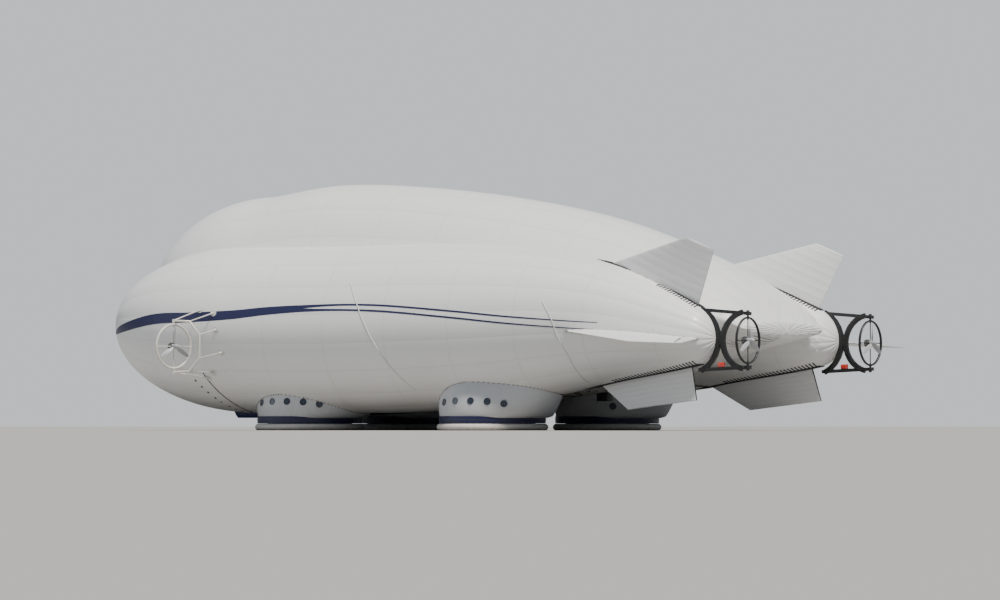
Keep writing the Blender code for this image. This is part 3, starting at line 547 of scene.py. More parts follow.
def lace_joint(tag, rows, slot_name, pitch):
    """A cord along the joint between a fabric piece and the hull, with short stitches across it."""
    met = [found for found in (meeting(path) for path in zip(*rows)) if found]
    line = [spot for spot, _ in met]
    tube("joint_" + tag, JOINT_CORD, lip_fabric, slot_name, [*line, line[0]])
    stitches = []
    for spot, way in met[::pitch]:
        normal = hull.closest_point_on_mesh(spot)[2]
        if abs(way.dot(normal)) < 0.99:
            across = (way - normal * way.dot(normal)).normalized() * STITCH_REACH
            stitches.append([spot + across * reach + normal * lift
                             for reach, lift in ((-1, 0.004), (0, 0.034), (1, 0.004))])
    tube("stitches_" + tag, STITCH, port_dark, "carbon", *stitches)


for end in ("front", "rear"):
    for side_name, side in SIDES:
        tag = end + "_" + side_name
        low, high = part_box("pad_lip_" + tag)
        middle = (low + high) / 2
        middle.z = 0
        lip_radius = (high.x - low.x) / 2 - LIP_TUBE

        rows = [teardrop(middle, *row) for row in FAIRING_ROWS]
        rows = [[middle + Vector((0, 0, FAIRING_ROWS[0][0]))] * FAIRING_SIDES, *rows,
                [Vector((middle.x + FAIRING_PEAK, middle.y, FAIRING_ROWS[-1][0]))] * FAIRING_SIDES]
        fairing = skin("fairing_" + tag, rows)
        settle(fairing, pad_fabric, angle=50)
        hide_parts("pad_fairing_" + tag)
        lace_joint(tag, rows[1:-1], "pad_fabric", 1)
        for i, (turn, height) in enumerate(PORTS):
            angle = math.radians(turn)
            reach = Vector((-math.cos(angle), side * math.sin(angle), 0)) * PORT_REACH
            make_port("port_%d_%s" % (i + 1, tag), fairing, middle + reach + Vector((0, 0, height)))

        turns = [math.tau * i / BAND_SIDES for i in range(BAND_SIDES)]
        rows = [[middle + Vector((radius * math.cos(t), radius * math.sin(t), height)) for t in turns]
                for radius, height in BAND_PROFILE]
        band = skin("band_" + tag, rows)
        settle(band, band_fabric)
        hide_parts("pad_band_" + tag)

        rows = []
        for i in range(LIP_STEPS + 1):
            angle = math.tau * i / LIP_STEPS
            gather = LIP_TUBE * (1 - 0.035 * abs(math.sin(LIP_GATHERS * angle)))
            out = Vector((math.cos(angle), math.sin(angle), 0))
            spine = middle + out * lip_radius + Vector((0, 0, LIP_TUBE - 0.012))
            turns = [math.tau * k / LIP_SIDES for k in range(LIP_SIDES)]
            row = [spine + gather * (out * math.cos(t) + Vector((0, 0, math.sin(t)))) for t in turns]
            for point in row:
                point.z = max(point.z, 0.0)
            rows.append(row)
        lip = skin("lip_" + tag, rows)
        settle(lip, lip_fabric, angle=60)
        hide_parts("pad_lip_" + tag)

        rows = []
        for i in range(PLEATS * 6):
            angle = math.tau * i / (PLEATS * 6)
            fold = 0.5 + 0.5 * math.cos(PLEATS * angle)
            out, up = Vector((math.cos(angle), math.sin(angle), 0)), Vector((0, 0, 1))
            rows.append([middle + out * (radius - deep * fold) + up * (height - deep * fold * 0.4)
                         for radius, height, deep in SKIRT_PROFILE])
        skirt = skin("skirt_" + tag, [*rows, rows[0]], closed=False)
        apply_step(skirt, "SOLIDIFY", thickness=SKIRT_THICK, offset=0.0)
        settle(skirt, skirt_rubber, angle=60)
        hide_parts("pad_skirt_" + tag)

# Fins: white fabric stretched over spars and close ribs, six of them on the two outer lobes. The side
# fins have a small tab let into the trailing edge. All are laced to the hull through a wide patch.
# Corners: leading root, leading tip, trailing tip, trailing root, as x, y out from the middle, z.
# Then the thickness at the root and at the tip.
FINS = {
    "upper": (((10.5, 5.10, 7.90), (15.47, 6.20, 9.10), (16.98, 6.20, 8.48), (15.8, 5.75, 5.70)),
              0.34, 0.10),
    "side": (((9.6, 7.90, 4.75), (15.2, 11.10, 4.15), (17.9, 10.90, 4.05), (16.2, 6.20, 4.35)),
             0.36, 0.10),
    "lower": (((9.9, 5.05, 2.30), (12.0, 5.75, 0.98), (15.9, 5.95, 1.42), (15.5, 5.70, 3.20)),
              0.26, 0.10),
}
RIBS, EDGE_START, FIN_STEPS, FIN_SIDES, TIP_START = 9, 0.93, 26, 56, 0.976
# A tab's hinge line, as a share of the chord, and its ends, as shares of the span.
TAB_START, TAB_INNER, TAB_OUTER = 0.78, 0.30, 0.90


def make_fin_fabric(kind, has_tab, trailing_edge_tone):
    place = start_finish(kind + "_fin_fabric", coat=0.1)
    grid = place.node("ShaderNodeUVMap", uv_map="UVMap")
    around, span = grid.part("X"), grid.part("Y")
    chord = 1 - abs(around * 2 - 1)
    rib = seam(span * RIBS, 0.05)
    cloudy = place.noise(0.8)
    colour = (cloudy * 0.5).mix((0.80, 0.80, 0.795, 1), (0.70, 0.715, 0.73, 1))
    colour = (rib * 0.35).mix(colour, (0.58, 0.59, 0.60, 1))
    # A strip along the trailing edge in its own tone; on the lower fins it is black, a painted shadow.
    colour = (chord > EDGE_START).mix(colour, trailing_edge_tone)
    sag = (span * RIBS).fract() * math.pi
    relief = 1 - sag.sine() * 0.5 + rib * 0.2 + place.noise(2.5, 4) * 0.25
    if has_tab:
        inside = (span > TAB_INNER) * (span < TAB_OUTER)
        ends = (abs(span - TAB_INNER) < 0.006) + (abs(span - TAB_OUTER) < 0.006)
        gap = ((abs(chord - TAB_START) < 0.010) * inside + ends * (chord > TAB_START)).held()
        colour = ((chord > TAB_START) * inside * 0.4).mix(colour, (0.45, 0.46, 0.47, 1))
        colour = gap.mix(colour, (0.05, 0.05, 0.055, 1))
        relief = relief - gap * 0.8
    return place.finish(colour, 0.40 + cloudy * 0.15, relief, 0.014)


# Trailing edges: slightly darker grey on the upper and side fins; on the lower fins black, a painted
# shadow along the edge.
fin_fabrics = {"upper": make_fin_fabric("upper", False, (0.66, 0.67, 0.68, 1)),
               "side": make_fin_fabric("side", True, (0.62, 0.63, 0.64, 1)),
               "lower": make_fin_fabric("lower", False, (0.015, 0.015, 0.017, 1))}


def fin_rows(corners, side, root_thick, tip_thick):
    """Sections of a fin from its root to its rounded tip edge."""
    lead_root, lead_tip, trail_tip, trail_root = [Vector((x, side * y, z)) for x, y, z in corners]
    face = (lead_tip - lead_root).cross(trail_root - lead_root).normalized()
    shares = [i / FIN_STEPS for i in range(FIN_STEPS)] + [1 - 0.012 * k for k in (2, 1, 0.4, 0)]
    rows = []
    for share in sorted(shares):
        lead, trail = lead_root.lerp(lead_tip, share), trail_root.lerp(trail_tip, share)
        thick = root_thick + (tip_thick - root_thick) * share
        edge = math.sqrt(max(0.0, 1 - max(0, (share - TIP_START) / (1 - TIP_START)) ** 2))
        row = []
        for k in range(FIN_SIDES):
            turn = math.tau * k / FIN_SIDES
            place = 0.5 - 0.5 * math.cos(turn)
            swell = thick / 2 * (0.10 + 0.90 * math.sin(math.pi * place**0.7)) * edge
            blunt = min(1.0, place / 0.01, (1 - place) / 0.004)
            row.append(lead.lerp(trail, place) + face * swell * blunt * (1 if turn < math.pi else -1))
        rows.append(row)
    return rows


def capped(rows):
    """The rows with each end closed to its own middle."""
    first, last = ([sum(row, Vector()) / len(row)] * len(row) for row in (rows[0], rows[-1]))
    return [first, *rows, last]


for kind, (corners, root_thick, tip_thick) in FINS.items():
    for side_name, side in SIDES:
        tag = kind + "_" + side_name
        rows = fin_rows(corners, side, root_thick, tip_thick)
        fin = skin("fin_skin_" + tag, capped(rows))
        settle(fin, fin_fabrics[kind], angle=40)
        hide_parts("fin_" + tag)
        lace_joint("fin_" + tag, rows, "fin_skin", 2)

# Stern straps: broad black webbing along the ridge and the keel of each outer lobe, with short
# ties on both sides that spread its pull into the fabric. The thruster's frame is laced to it.
STRAP_START, STRAP_END = {"upper": 9.9, "lower": 9.2}, OUTER_CAP + 0.08
STRAP_HALF, STRAP_THICK, STRAP_SUNK, STRAP_STEPS = {"upper": 0.17, "lower": 0.25}, 0.05, -0.03, 60
# Ties of each strap: first x, last x, number, length.
TIES = {"upper": (13.7, 15.9, 15, 0.34), "lower": (11.2, 15.9, 26, 0.46)}
TIE_WIDTH, TIE_THICK, TIE_SUNK, TIE_STEPS = 0.055, 0.022, -0.01, 5

place = start_finish("black_webbing")
weave = place.node("ShaderNodeTexWave", {"Vector": place, "Scale": 14.0, "Distortion": 1.5})
fuzz = place.noise(30.0, 2)
colour = (weave * 0.5 + fuzz * 0.3).mix((0.010, 0.010, 0.012, 1), (0.035, 0.035, 0.040, 1))
webbing = place.finish(colour, 0.62 + fuzz * 0.2, weave + fuzz * 0.5, 0.004)


def make_tie(side, x, near, far):
    """A flat tie round the lobe at x, from one angle to another."""
    fore, back = x - TIE_WIDTH / 2, x + TIE_WIDTH / 2
    corners = ((fore, TIE_SUNK), (back, TIE_SUNK), (back, TIE_THICK), (fore, TIE_THICK))
    turns = [near + (far - near) * i / TIE_STEPS for i in range(TIE_STEPS + 1)]
    return skin("tie", capped([[on_lobe(side, x, turn, lift) for x, lift in corners] for turn in turns]))


def joined(name, parts, place=Matrix()):
    """Join parts into one piece, and move them from where they were made to their place."""
    pick(*parts)
    bpy.ops.object.transform_apply()
    bpy.ops.object.join()
    piece = added(name)
    piece.data.transform(place)
    return piece


for side_name, side in SIDES:
    for level, ridge in (("upper", 0.0), ("lower", 180.0)):
        tag = level + "_" + side_name
        rows = []
        for i in range(STRAP_STEPS + 1):
            x = STRAP_START[level] + (STRAP_END - STRAP_START[level]) * i / STRAP_STEPS
            taper = min(1.0, 0.25 + i / 8)
            half = math.degrees(STRAP_HALF[level] / outer_radius(x)) * taper
            rows.append([on_lobe(side, x, ridge + share * way * half, lift)
                         for way, lift in ((1, STRAP_SUNK), (-1, STRAP_THICK * taper))
                         for share in (-1, -0.4, 0.4, 1)])
        parts = [skin("strap", capped(rows))]
        first, last, count, length = TIES[level]
        for i in range(count):
            x = first + (last - first) * i / (count - 1)
            turn = math.degrees(1 / outer_radius(x))
            for way in (-1, 1):
                parts.append(make_tie(side, x, ridge + way * turn * STRAP_HALF[level] * 0.8,
                                      ridge + way * turn * (STRAP_HALF[level] + length)))
        strap = joined("strap_" + tag, parts)
        settle(strap, webbing)
        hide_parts("stern_strap_" + tag)

# Seams, laces and lines on the hull: pale welts where the panels overlap, dark laced joints under the
# nose and across the belly, rows of lacing patches, the belly box's one cable and a few small white
# fittings. All are sewn or bonded to the fabric.
# A route is a list of places on an outer lobe, as x and degrees outboard from the top.
WELTS = (((-2.30, 58), (-1.67, 73), (-1.24, 84), (-0.43, 104), (0.20, 120), (0.97, 139)),
         ((8.70, 73), (9.24, 88), (9.44, 98), (9.83, 120), (9.95, 140), (10.0, 162)))
NOSE_LACE = ((-11.2, 122), (-10.9, 134), (-10.5, 150), (-10.17, 171))
NOSE_DOTS = ((-11.9, 129), (-11.5, 140), (-11.1, 153), (-10.65, 169))
# Routes on the belly, as x and y. The laced joint starts near the middle of the belly, crosses to
# the starboard lobe and runs out to its strap. A row of patches lies beside it, and one to port.
BELLY_LACE = ((3.9, 0.5), (5.1, 0.6), (6.1, 1.0), (6.6, 1.8), (6.9, 2.6), (7.8, 2.85), (8.6, 3.0),
              (9.3, 3.4), (9.9, 4.3), (10.5, 5.4))
BELLY_BRANCH = ((6.2, -1.15), (6.22, -0.95), (6.3, -0.62))
BELLY_PATCHES = ((6.85, 2.8), (7.25, 3.2), (7.9, 4.15), (8.4, 5.5))
PORT_PATCHES = ((5.05, -1.25), (6.2, -1.2), (7.4, -1.1))
BOX_CABLE = ((9.25, -4.9), (9.05, -3.0), (8.8, -1.9), (8.2, -1.35), (7.65, -0.65))
# Small white fittings: by the nose as x and degrees, and under the tail as x and y out from the middle.
NOSE_FITTING, TAIL_FITTINGS = ((-9.55, 121), (-9.42, 121)), ((14.2, 3.65), (14.4, 3.8), (16.3, 4.75))
WELT_RADIUS, LACE_RADIUS, CABLE_RADIUS, PATCH_RADIUS = 0.030, 0.028, 0.016, 0.062
PATCH_DEPTH = 0.03

pale_welt = grained("pale_welt", (0.74, 0.74, 0.73, 1), (0.52, 0.52, 0.51, 1), 12.0, 0.5, depth=0.003)
fitting_white = grained("white_fitting", (0.90, 0.90, 0.89, 1), (0.78, 0.78, 0.77, 1), 30.0, 0.3,
                        coat=0.4)
place = start_finish("dark_lace")
lay = place.node("ShaderNodeTexWave", {"Vector": place, "Scale": 9.0, "Distortion": 0.5})
lace_cord = place.finish(lay.mix((0.020, 0.017, 0.015, 1), (0.09, 0.075, 0.06, 1)), 0.75, lay, 0.006)


def eased(points, pitch=0.12):
    """A smooth line through the points, with a point every pitch metres."""
    line = []
    for k in range(len(points) - 1):
        before, here, there, after = (points[max(k - 1, 0)], points[k], points[k + 1],
                                      points[min(k + 2, len(points) - 1)])
        steps = max(2, round((there - here).length / pitch))
        for i in range(steps):
            t = i / steps
            line.append(0.5 * (2 * here + (there - before) * t
                               + (2 * before - 5 * here + 4 * there - after) * t**2
                               + (3 * here - before - 3 * there + after) * t**3))
    return [*line, points[-1]]


def lobe_line(side, route):
    return eased([on_lobe(side, x, turn) for x, turn in route])


def on_hull(line):
    """The nearest points of the hull to the points of a line."""
    return [hull.closest_point_on_mesh(point)[1] for point in line]


def patches(name, line, count, material):
    """A row of small round patches along a line on the hull."""
    parts = []
    for i in range(count):
        place = line[round((len(line) - 1) * i / (count - 1))]
        _, spot, normal, _ = hull.closest_point_on_mesh(place)
        bpy.ops.mesh.primitive_cylinder_add(vertices=14, radius=PATCH_RADIUS, depth=PATCH_DEPTH)
        parts.append(added("patch"))
        apply_step(parts[-1], "BEVEL", width=0.008, segments=2)
        stand_on(parts[-1], spot, normal)
    settle(joined(name, parts), material)


def under_hull(x, y, lift=0.0):
    """The point of the hull's underside straight above x and y."""
    _, spot, normal, _ = hull.ray_cast(Vector((x, y, -1)), Vector((0, 0, 1)))
    return spot + normal * lift


def belly_line(route, lift=0.0):
    return [under_hull(p.x, p.y, lift) for p in eased([Vector((x, y, 0)) for x, y in route])]


for side_name, side in SIDES:
    for i, route in enumerate(WELTS):
        tube("welt_%d_%s" % (i + 1, side_name), WELT_RADIUS, pale_welt, "hull_fabric",
             on_hull(lobe_line(side, route)))
    tube("nose_lace_" + side_name, LACE_RADIUS, lace_cord, "carbon", on_hull(lobe_line(side, NOSE_LACE)))
    patches("nose_patches_" + side_name, lobe_line(side, NOSE_DOTS), 8, lace_cord)
    line = [on_lobe(side, x, turn) for x, turn in NOSE_FITTING]
    patches("nose_fitting_" + side_name, line, 2, fitting_white)
    line = [under_hull(x, side * y) for x, y in TAIL_FITTINGS]
    patches("tail_fittings_" + side_name, line, 3, fitting_white)
tube("box_cable", CABLE_RADIUS, lace_cord, "carbon", belly_line(BOX_CABLE, CABLE_RADIUS))
tube("belly_lace", LACE_RADIUS, lace_cord, "carbon", belly_line(BELLY_LACE, LACE_RADIUS),
     belly_line(BELLY_BRANCH, LACE_RADIUS))
for label, route, count in (("starboard", BELLY_PATCHES, 8), ("lace", BELLY_LACE[-3:], 5),
                            ("port", PORT_PATCHES, 6)):
    patches("belly_patches_" + label, belly_line(route), count, lace_cord)

# Thrusters: each propeller turns in a slim round hoop, on an engine that four struts hold. The hoop
# swivels on two kingpins. The bow hoops are painted off-white, the stern ones are black laminate.
HOOP_RADIUS, BOW_TURN = 1.065, 16
# Half the hoop's thickness across and along its axis.
HOOP_WALL, HOOP_CHORD = {"bow": 0.058, "stern": 0.045}, 0.065
KINGPIN_RADIUS, KINGPIN_END, BOSS_RADIUS, STRUT_START = 0.045, 1.17, 0.075, 0.17
STRUT_RADIUS, FOOT_RADIUS = 0.024, 0.042
FOOT_START, FOOT_END = HOOP_RADIUS - 0.10, HOOP_RADIUS - 0.03
ENGINE_FRONT, ENGINE_BACK, FINS_START, FIN_PITCH, FIN_COUNT = 0.0403, -0.32, 0.05, 0.036, 7
DRUM_RADIUS, RIB_RADIUS, EXHAUST_RADIUS = 0.125, 0.160, 0.018
HUB_FRONT, HUB_RADIUS, SPINNER_TIP = 0.18, 0.118, 0.38
# One blade: distance from the shaft, chord, pitch in degrees, thickness.
BLADE = ((0.08, 0.10, 62, 0.050), (0.20, 0.16, 54, 0.042), (0.35, 0.22, 44, 0.032),
         (0.50, 0.225, 37, 0.026), (0.65, 0.21, 30, 0.021), (0.80, 0.18, 26, 0.016),
         (0.92, 0.145, 23, 0.012), (0.985, 0.10, 22, 0.007))
BLADES, BLADE_SIDES = 3, 24

place = start_finish("cream_paint", coat=0.3)
chipped = place.noise(26.0, 6) > 0.70
grime = place.noise(4.0, 4)
colour = (grime * 0.6).mix((0.72, 0.70, 0.64, 1), (0.55, 0.53, 0.48, 1))
colour = chipped.mix(colour, (0.20, 0.19, 0.18, 1))
cream_paint = place.finish(colour, 0.30 + grime * 0.2, grime * 0.4 - chipped * 0.4, 0.002)

place = start_finish("black_laminate", coat=0.08)
x, y, z = (place.part(axis) for axis in "XYZ")
twill = ((x + z) * 60).sine() * ((x - z + y) * 60).sine()
grime = place.noise(3.5, 4)
colour = (twill * 0.5 + 0.5).mix((0.005, 0.0055, 0.007, 1), (0.014, 0.015, 0.018, 1))
colour = (grime * 0.15).mix(colour, (0.04, 0.036, 0.03, 1))
black_laminate = place.finish(colour, 0.42 + grime * 0.2, twill, 0.0006)

place = start_finish("engine_casting", metallic=0.85)
oil = place.noise(8.0, 3)
colour = oil.mix((0.34, 0.34, 0.35, 1), (0.13, 0.12, 0.11, 1))
engine_casting = place.finish(colour, 0.42 + oil * 0.2, place.noise(45.0, 4), 0.002)

blade_composite = grained("grey_blade_composite", (0.30, 0.31, 0.33, 1), (0.42, 0.43, 0.45, 1), 18.0,
                          0.36, 0.18, detail=5, coat=0.2)


def lathed(name, profile, sides=48):
    """A piece turned about X from a profile of (x, radius)."""
    turns = [math.tau * i / sides for i in range(sides)]
    return skin(name, [[Vector((x, radius * math.sin(t), radius * math.cos(t))) for t in turns]
                       for x, radius in profile])


def rod(name, start, end, radius, sides=20):
    """A round bar between two points, with eased ends."""
    run = end - start
    bpy.ops.mesh.primitive_cylinder_add(vertices=sides, radius=radius, depth=run.length)
    bar = added(name)
    apply_step(bar, "BEVEL", width=radius * 0.15, segments=2, limit_method="ANGLE")
    stand_on(bar, (start + end) / 2, run.normalized())
    return bar


def make_hoop(name, place, wall):
    """A hoop with four struts in it, and a kingpin with its boss above and below."""
    turns = [math.tau * k / 20 for k in range(20)]
    oval = [(HOOP_CHORD * math.cos(t), HOOP_RADIUS + wall * math.sin(t)) for t in turns]
    parts = [lathed(name, [*oval, oval[0]], 128)]
    for way in (Vector((0, -1, 0)), Vector((0, 1, 0)), Vector((0, 0, -1)), Vector((0, 0, 1))):
        parts.append(rod("strut", way * STRUT_START, way * HOOP_RADIUS, STRUT_RADIUS))
        parts.append(rod("strut_foot", way * FOOT_START, way * FOOT_END, FOOT_RADIUS))
    for way in (Vector((0, 0, -1)), Vector((0, 0, 1))):
        parts.append(rod("kingpin", way * HOOP_RADIUS, way * KINGPIN_END, KINGPIN_RADIUS))
        parts.append(rod("boss", way * (HOOP_RADIUS + 0.01), way * (HOOP_RADIUS + wall + 0.012),
                         BOSS_RADIUS))
    return joined(name, parts, place)


def make_engine(name, place):
    """A small ribbed engine: a finned drum with two cylinder heads and a short exhaust."""
    profile = [(ENGINE_BACK, 0.0), (ENGINE_BACK, 0.07), (ENGINE_BACK + 0.03, 0.11)]
    for i in range(FIN_COUNT):
        start = ENGINE_BACK + FINS_START + i * FIN_PITCH
        profile += [(start, DRUM_RADIUS), (start + 0.002, RIB_RADIUS), (start + 0.014, RIB_RADIUS),
                    (start + 0.016, DRUM_RADIUS)]
    profile += [(ENGINE_FRONT - 0.04, 0.13), (ENGINE_FRONT - 0.004, 0.10), (ENGINE_FRONT, 0.09),
                (ENGINE_FRONT, 0.0)]
    parts = [lathed(name, profile)]
    for way in (-1, 1):
        for i in range(4):
            bpy.ops.mesh.primitive_cube_add(size=1, location=(-0.17, 0, way * (0.135 + i * 0.015)),
                                            scale=(0.15 - i * 0.01, 0.16 - i * 0.012, 0.008))
            parts.append(added("head_rib"))
            apply_step(parts[-1], "BEVEL", width=0.02, segments=2)
        parts.append(rod("exhaust", Vector((-0.10, way * 0.10, -0.05)),
                         Vector((-0.22, way * 0.172, -0.08)), EXHAUST_RADIUS))
    return joined(name, parts, place)


def make_propeller(name, place):
    """A round-nosed hub with its twisted blades."""
    profile = [(ENGINE_FRONT + 0.001, 0.0), (ENGINE_FRONT + 0.001, 0.115),
               (HUB_FRONT - 0.02, HUB_RADIUS)]
    turns = [math.pi / 2 * k / 10 for k in range(11)]
    profile += [(HUB_FRONT + (SPINNER_TIP - HUB_FRONT) * math.sin(t), HUB_RADIUS * math.cos(t))
                for t in turns]
    parts = [lathed(name, profile)]
    shaft = Vector(((ENGINE_FRONT + HUB_FRONT) / 2, 0, 0))
    for i in range(BLADES):
        spin = Matrix.Rotation(math.tau * i / BLADES, 3, "X")
        rows = []
        for radius, chord, pitch, thick in BLADE:
            twist = Matrix.Rotation(math.radians(pitch), 3, "Z")
            row = []
            for k in range(BLADE_SIDES):
                turn = math.tau * k / BLADE_SIDES
                along = math.cos(turn) * chord / 2
                deep = math.sin(turn) * thick / 2 * (1.15 + 0.35 * math.cos(turn))
                row.append(spin @ (twist @ Vector((deep, along, 0)) + Vector((0, 0, radius))) + shaft)
            rows.append(row)
        parts.append(skin("blade", capped(rows)))
        apply_step(parts[-1], "SUBSURF", levels=1, render_levels=1)
    return joined(name, parts, place)


for end, turn_out in (("bow", BOW_TURN), ("stern", 0)):
    for side_name, side in SIDES:
        tag = end + "_%s_" + side_name
        body = tag % "thruster"
        place = (Matrix.Translation(joint_at[body + "_swivel"])
                 @ Matrix.Rotation(math.radians(side * turn_out), 4, "Z"))
        hoop = make_hoop(tag % "hoop", place, HOOP_WALL[end])
        paint, slot_name = (cream_paint, "white_metal") if end == "bow" else (black_laminate, "carbon")
        settle(hoop, paint, body)
        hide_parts(tag % "duct")
        engine = make_engine(tag % "motor", place)
        settle(engine, engine_casting, body, 30)
        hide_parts(tag % "engine")
        screw = make_propeller(tag % "screw", place)
        settle(screw, blade_composite, tag % "propeller" + "_body", 40)
        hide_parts(tag % "propeller")

# Bow yokes and stern frames: the yokes are bent and welded steel tube with struts to the hull, and
# the frames are flat carbon lattices, laid up in one piece and bolted to the straps.
YOKE_TURN, PATCH_WIDTH, YOKE_FOOT_LENGTH, YOKE_FOOT_RADIUS = 21, 0.17, 0.16, 0.052
# Struts of a yoke: how far aft of the kingpins and how high each starts, then its run aft, inboard
# and up to the hull.
YOKE_STRUTS = ((0.0, 1.26, 0.85, 1.60, 0.68), (0.80, 1.22, 1.30, 1.55, 0.70),
               (1.30, 0.58, 1.00, 1.25, 0.45), (1.30, -0.58, 1.20, 1.30, 0.45),
               (0.80, -1.22, 0.60, 2.20, -0.10), (0.0, -1.26, 0.90, 2.40, -0.35))
# Bolts on both faces of a frame, from the kingpins: along its two ends, and up its waist.
END_BOLTS, END_HEIGHT, WAIST_BOLTS, WAIST_REACH = (-0.20, 0.12), 1.25, (-0.16, 0.0, 0.16), -1.47
BOLT_RADIUS, BOLT_HALF, FRAME_FACE = 0.022, 0.02, 0.08


def dressed(name, node, material, bevel=0.0, body="airframe", angle=35):
    """A copy of a solid with its triangles joined into whole faces and its edges eased."""
    thing = bpy.data.objects.new(name, nodes[node].data.copy())
    bpy.context.scene.collection.objects.link(thing)
    thing.data.materials.clear()
    pick(thing)
    bpy.ops.mesh.customdata_custom_splitnormals_clear()
    bpy.ops.object.mode_set(mode="EDIT")
    bpy.ops.mesh.select_all(action="SELECT")
    bpy.ops.mesh.remove_doubles(threshold=0.0002)
    bpy.ops.mesh.dissolve_limited(angle_limit=math.radians(1.0))
    bpy.ops.object.mode_set(mode="OBJECT")
    if bevel:
        apply_step(thing, "BEVEL", width=bevel, segments=2, limit_method="ANGLE",
                   angle_limit=math.radians(35))
    settle(thing, material, body, angle)
    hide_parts(node)
    return thing


place = start_finish("red_lamp", coat=0.8)
ribs = (place.part("X") * 90).sine() * 0.5 + 0.5
lamp_lens = place.finish(ribs.mix((0.55, 0.02, 0.012, 1), (0.80, 0.06, 0.04, 1)), 0.22, ribs, 0.002)

aft = math.radians(YOKE_TURN)
for side_name, side in SIDES:
    axis = joint_at["bow_thruster_%s_swivel" % side_name]
    feet, patched = [], []
    for reach, up, back, inward, rise in YOKE_STRUTS:
        start = axis + Vector((reach * math.cos(aft), -side * reach * math.sin(aft), up))
        run = Vector((back, -side * inward, rise)).normalized()
        _, spot, normal, _ = hull.ray_cast(start, run)
        bpy.ops.mesh.primitive_cylinder_add(vertices=40, radius=PATCH_WIDTH, depth=0.016)
        patched.append(added("patch"))
        apply_step(patched[-1], "BEVEL", width=0.005, segments=2)
        stand_on(patched[-1], spot + normal * 0.006, normal)
        feet.append(rod("foot", spot - run * YOKE_FOOT_LENGTH, spot, YOKE_FOOT_RADIUS))
    settle(joined("yoke_patches_" + side_name, patched), pale_welt)
    settle(joined("yoke_feet_" + side_name, feet), cream_paint)
    dressed("yoke_" + side_name, "bow_mount_" + side_name, cream_paint, angle=60)
    dressed("lattice_" + side_name, "stern_frame_" + side_name, black_laminate, 0.012)
    dressed("lamp_" + side_name, "stern_lamp_" + side_name, lamp_lens, 0.02)
    axis = joint_at["stern_thruster_%s_swivel" % side_name]
    bolts = []
    for level in (-1, 1):
        for face in (-FRAME_FACE, FRAME_FACE):
            spots = [(reach, level * END_HEIGHT) for reach in END_BOLTS]
            spots += [(WAIST_REACH, level * up) for up in WAIST_BOLTS]
            for reach, up in spots:
                ends = [axis + Vector((reach, face + half, up)) for half in (-BOLT_HALF, BOLT_HALF)]
                bolts.append(rod("bolt", *ends, BOLT_RADIUS, sides=6))
    settle(joined("lattice_bolts_" + side_name, bolts), engine_casting)

# Gondola: a slim blue body under the belly, of painted aluminium sheet over frames, with a crew cabin
# in front, a pale grey chin below its nose, open ladder frames in its pale blue underside and a hatch
# on the port side.
PANEL_PITCH, GASKET = 1.05, 0.022
# Open frames in the underside: front, back, lowest z. Their rungs lie within this height above it.
OPEN_FRAMES = {"cabin": (-12.79, -9.21, 0.63), "bay": (-2.29, 0.59, 0.99)}
FRAME_HALF, RUNG_TOP, CHIN_BACK = 0.59, 0.11, -12.75
# The cabin's side walls are this far out. Its windscreen's foot is at this x and z, and it leans.
CABIN_HALF, SCREEN_FOOT, SCREEN_LEAN = 0.80, (-13.9, 0.62), 0.5
HANDLE_RADIUS, HANDLE_HEIGHT = 0.012, 1.44
HANDLE_LINE = ((-10.36, -0.79), (-10.36, -0.845), (-10.04, -0.845), (-10.04, -0.79))

place = start_finish("navy_gondola_paint", coat=0.35)
joints = seam(place.part("X") / PANEL_PITCH, 0.014)
rivets = place.node("ShaderNodeTexVoronoi", {"Vector": place, "Scale": 9.0, "Randomness": 0.0}) < 0.10
grime = place.noise(2.2, 5)
colour = (grime * 0.6).mix((0.012, 0.020, 0.105, 1), (0.020, 0.040, 0.150, 1))
colour = joints.mix(colour, (0.006, 0.008, 0.03, 1))
relief = rivets * 0.3 - joints + grime * 0.3
gondola_paint = place.finish(colour, 0.30 + grime * 0.25, relief, 0.003)

place = start_finish("pale_blue_underside", coat=0.15)
joints = (seam(place.part("X") / PANEL_PITCH, 0.014) + seam(place.part("Y") / 0.5, 0.02)).held()
grime = place.noise(2.8, 6)
colour = grime.mix((0.055, 0.105, 0.185, 1), (0.13, 0.16, 0.20, 1))
colour = joints.mix(colour, (0.02, 0.03, 0.05, 1))
underside_paint = place.finish(colour, 0.42 + grime * 0.25, grime * 0.4 - joints, 0.003)

chin_grey = grained("warm_grey_chin", (0.52, 0.50, 0.47, 1), (0.34, 0.32, 0.29, 1), 3.5, 0.45, 0.2,
                    0.003, detail=5, coat=0.1)
glazing = grained("tinted_glazing", (0.010, 0.014, 0.020, 1), (0.035, 0.045, 0.060, 1), 3.0, 0.08,
                  0.06, depth=0, coat=0.9)

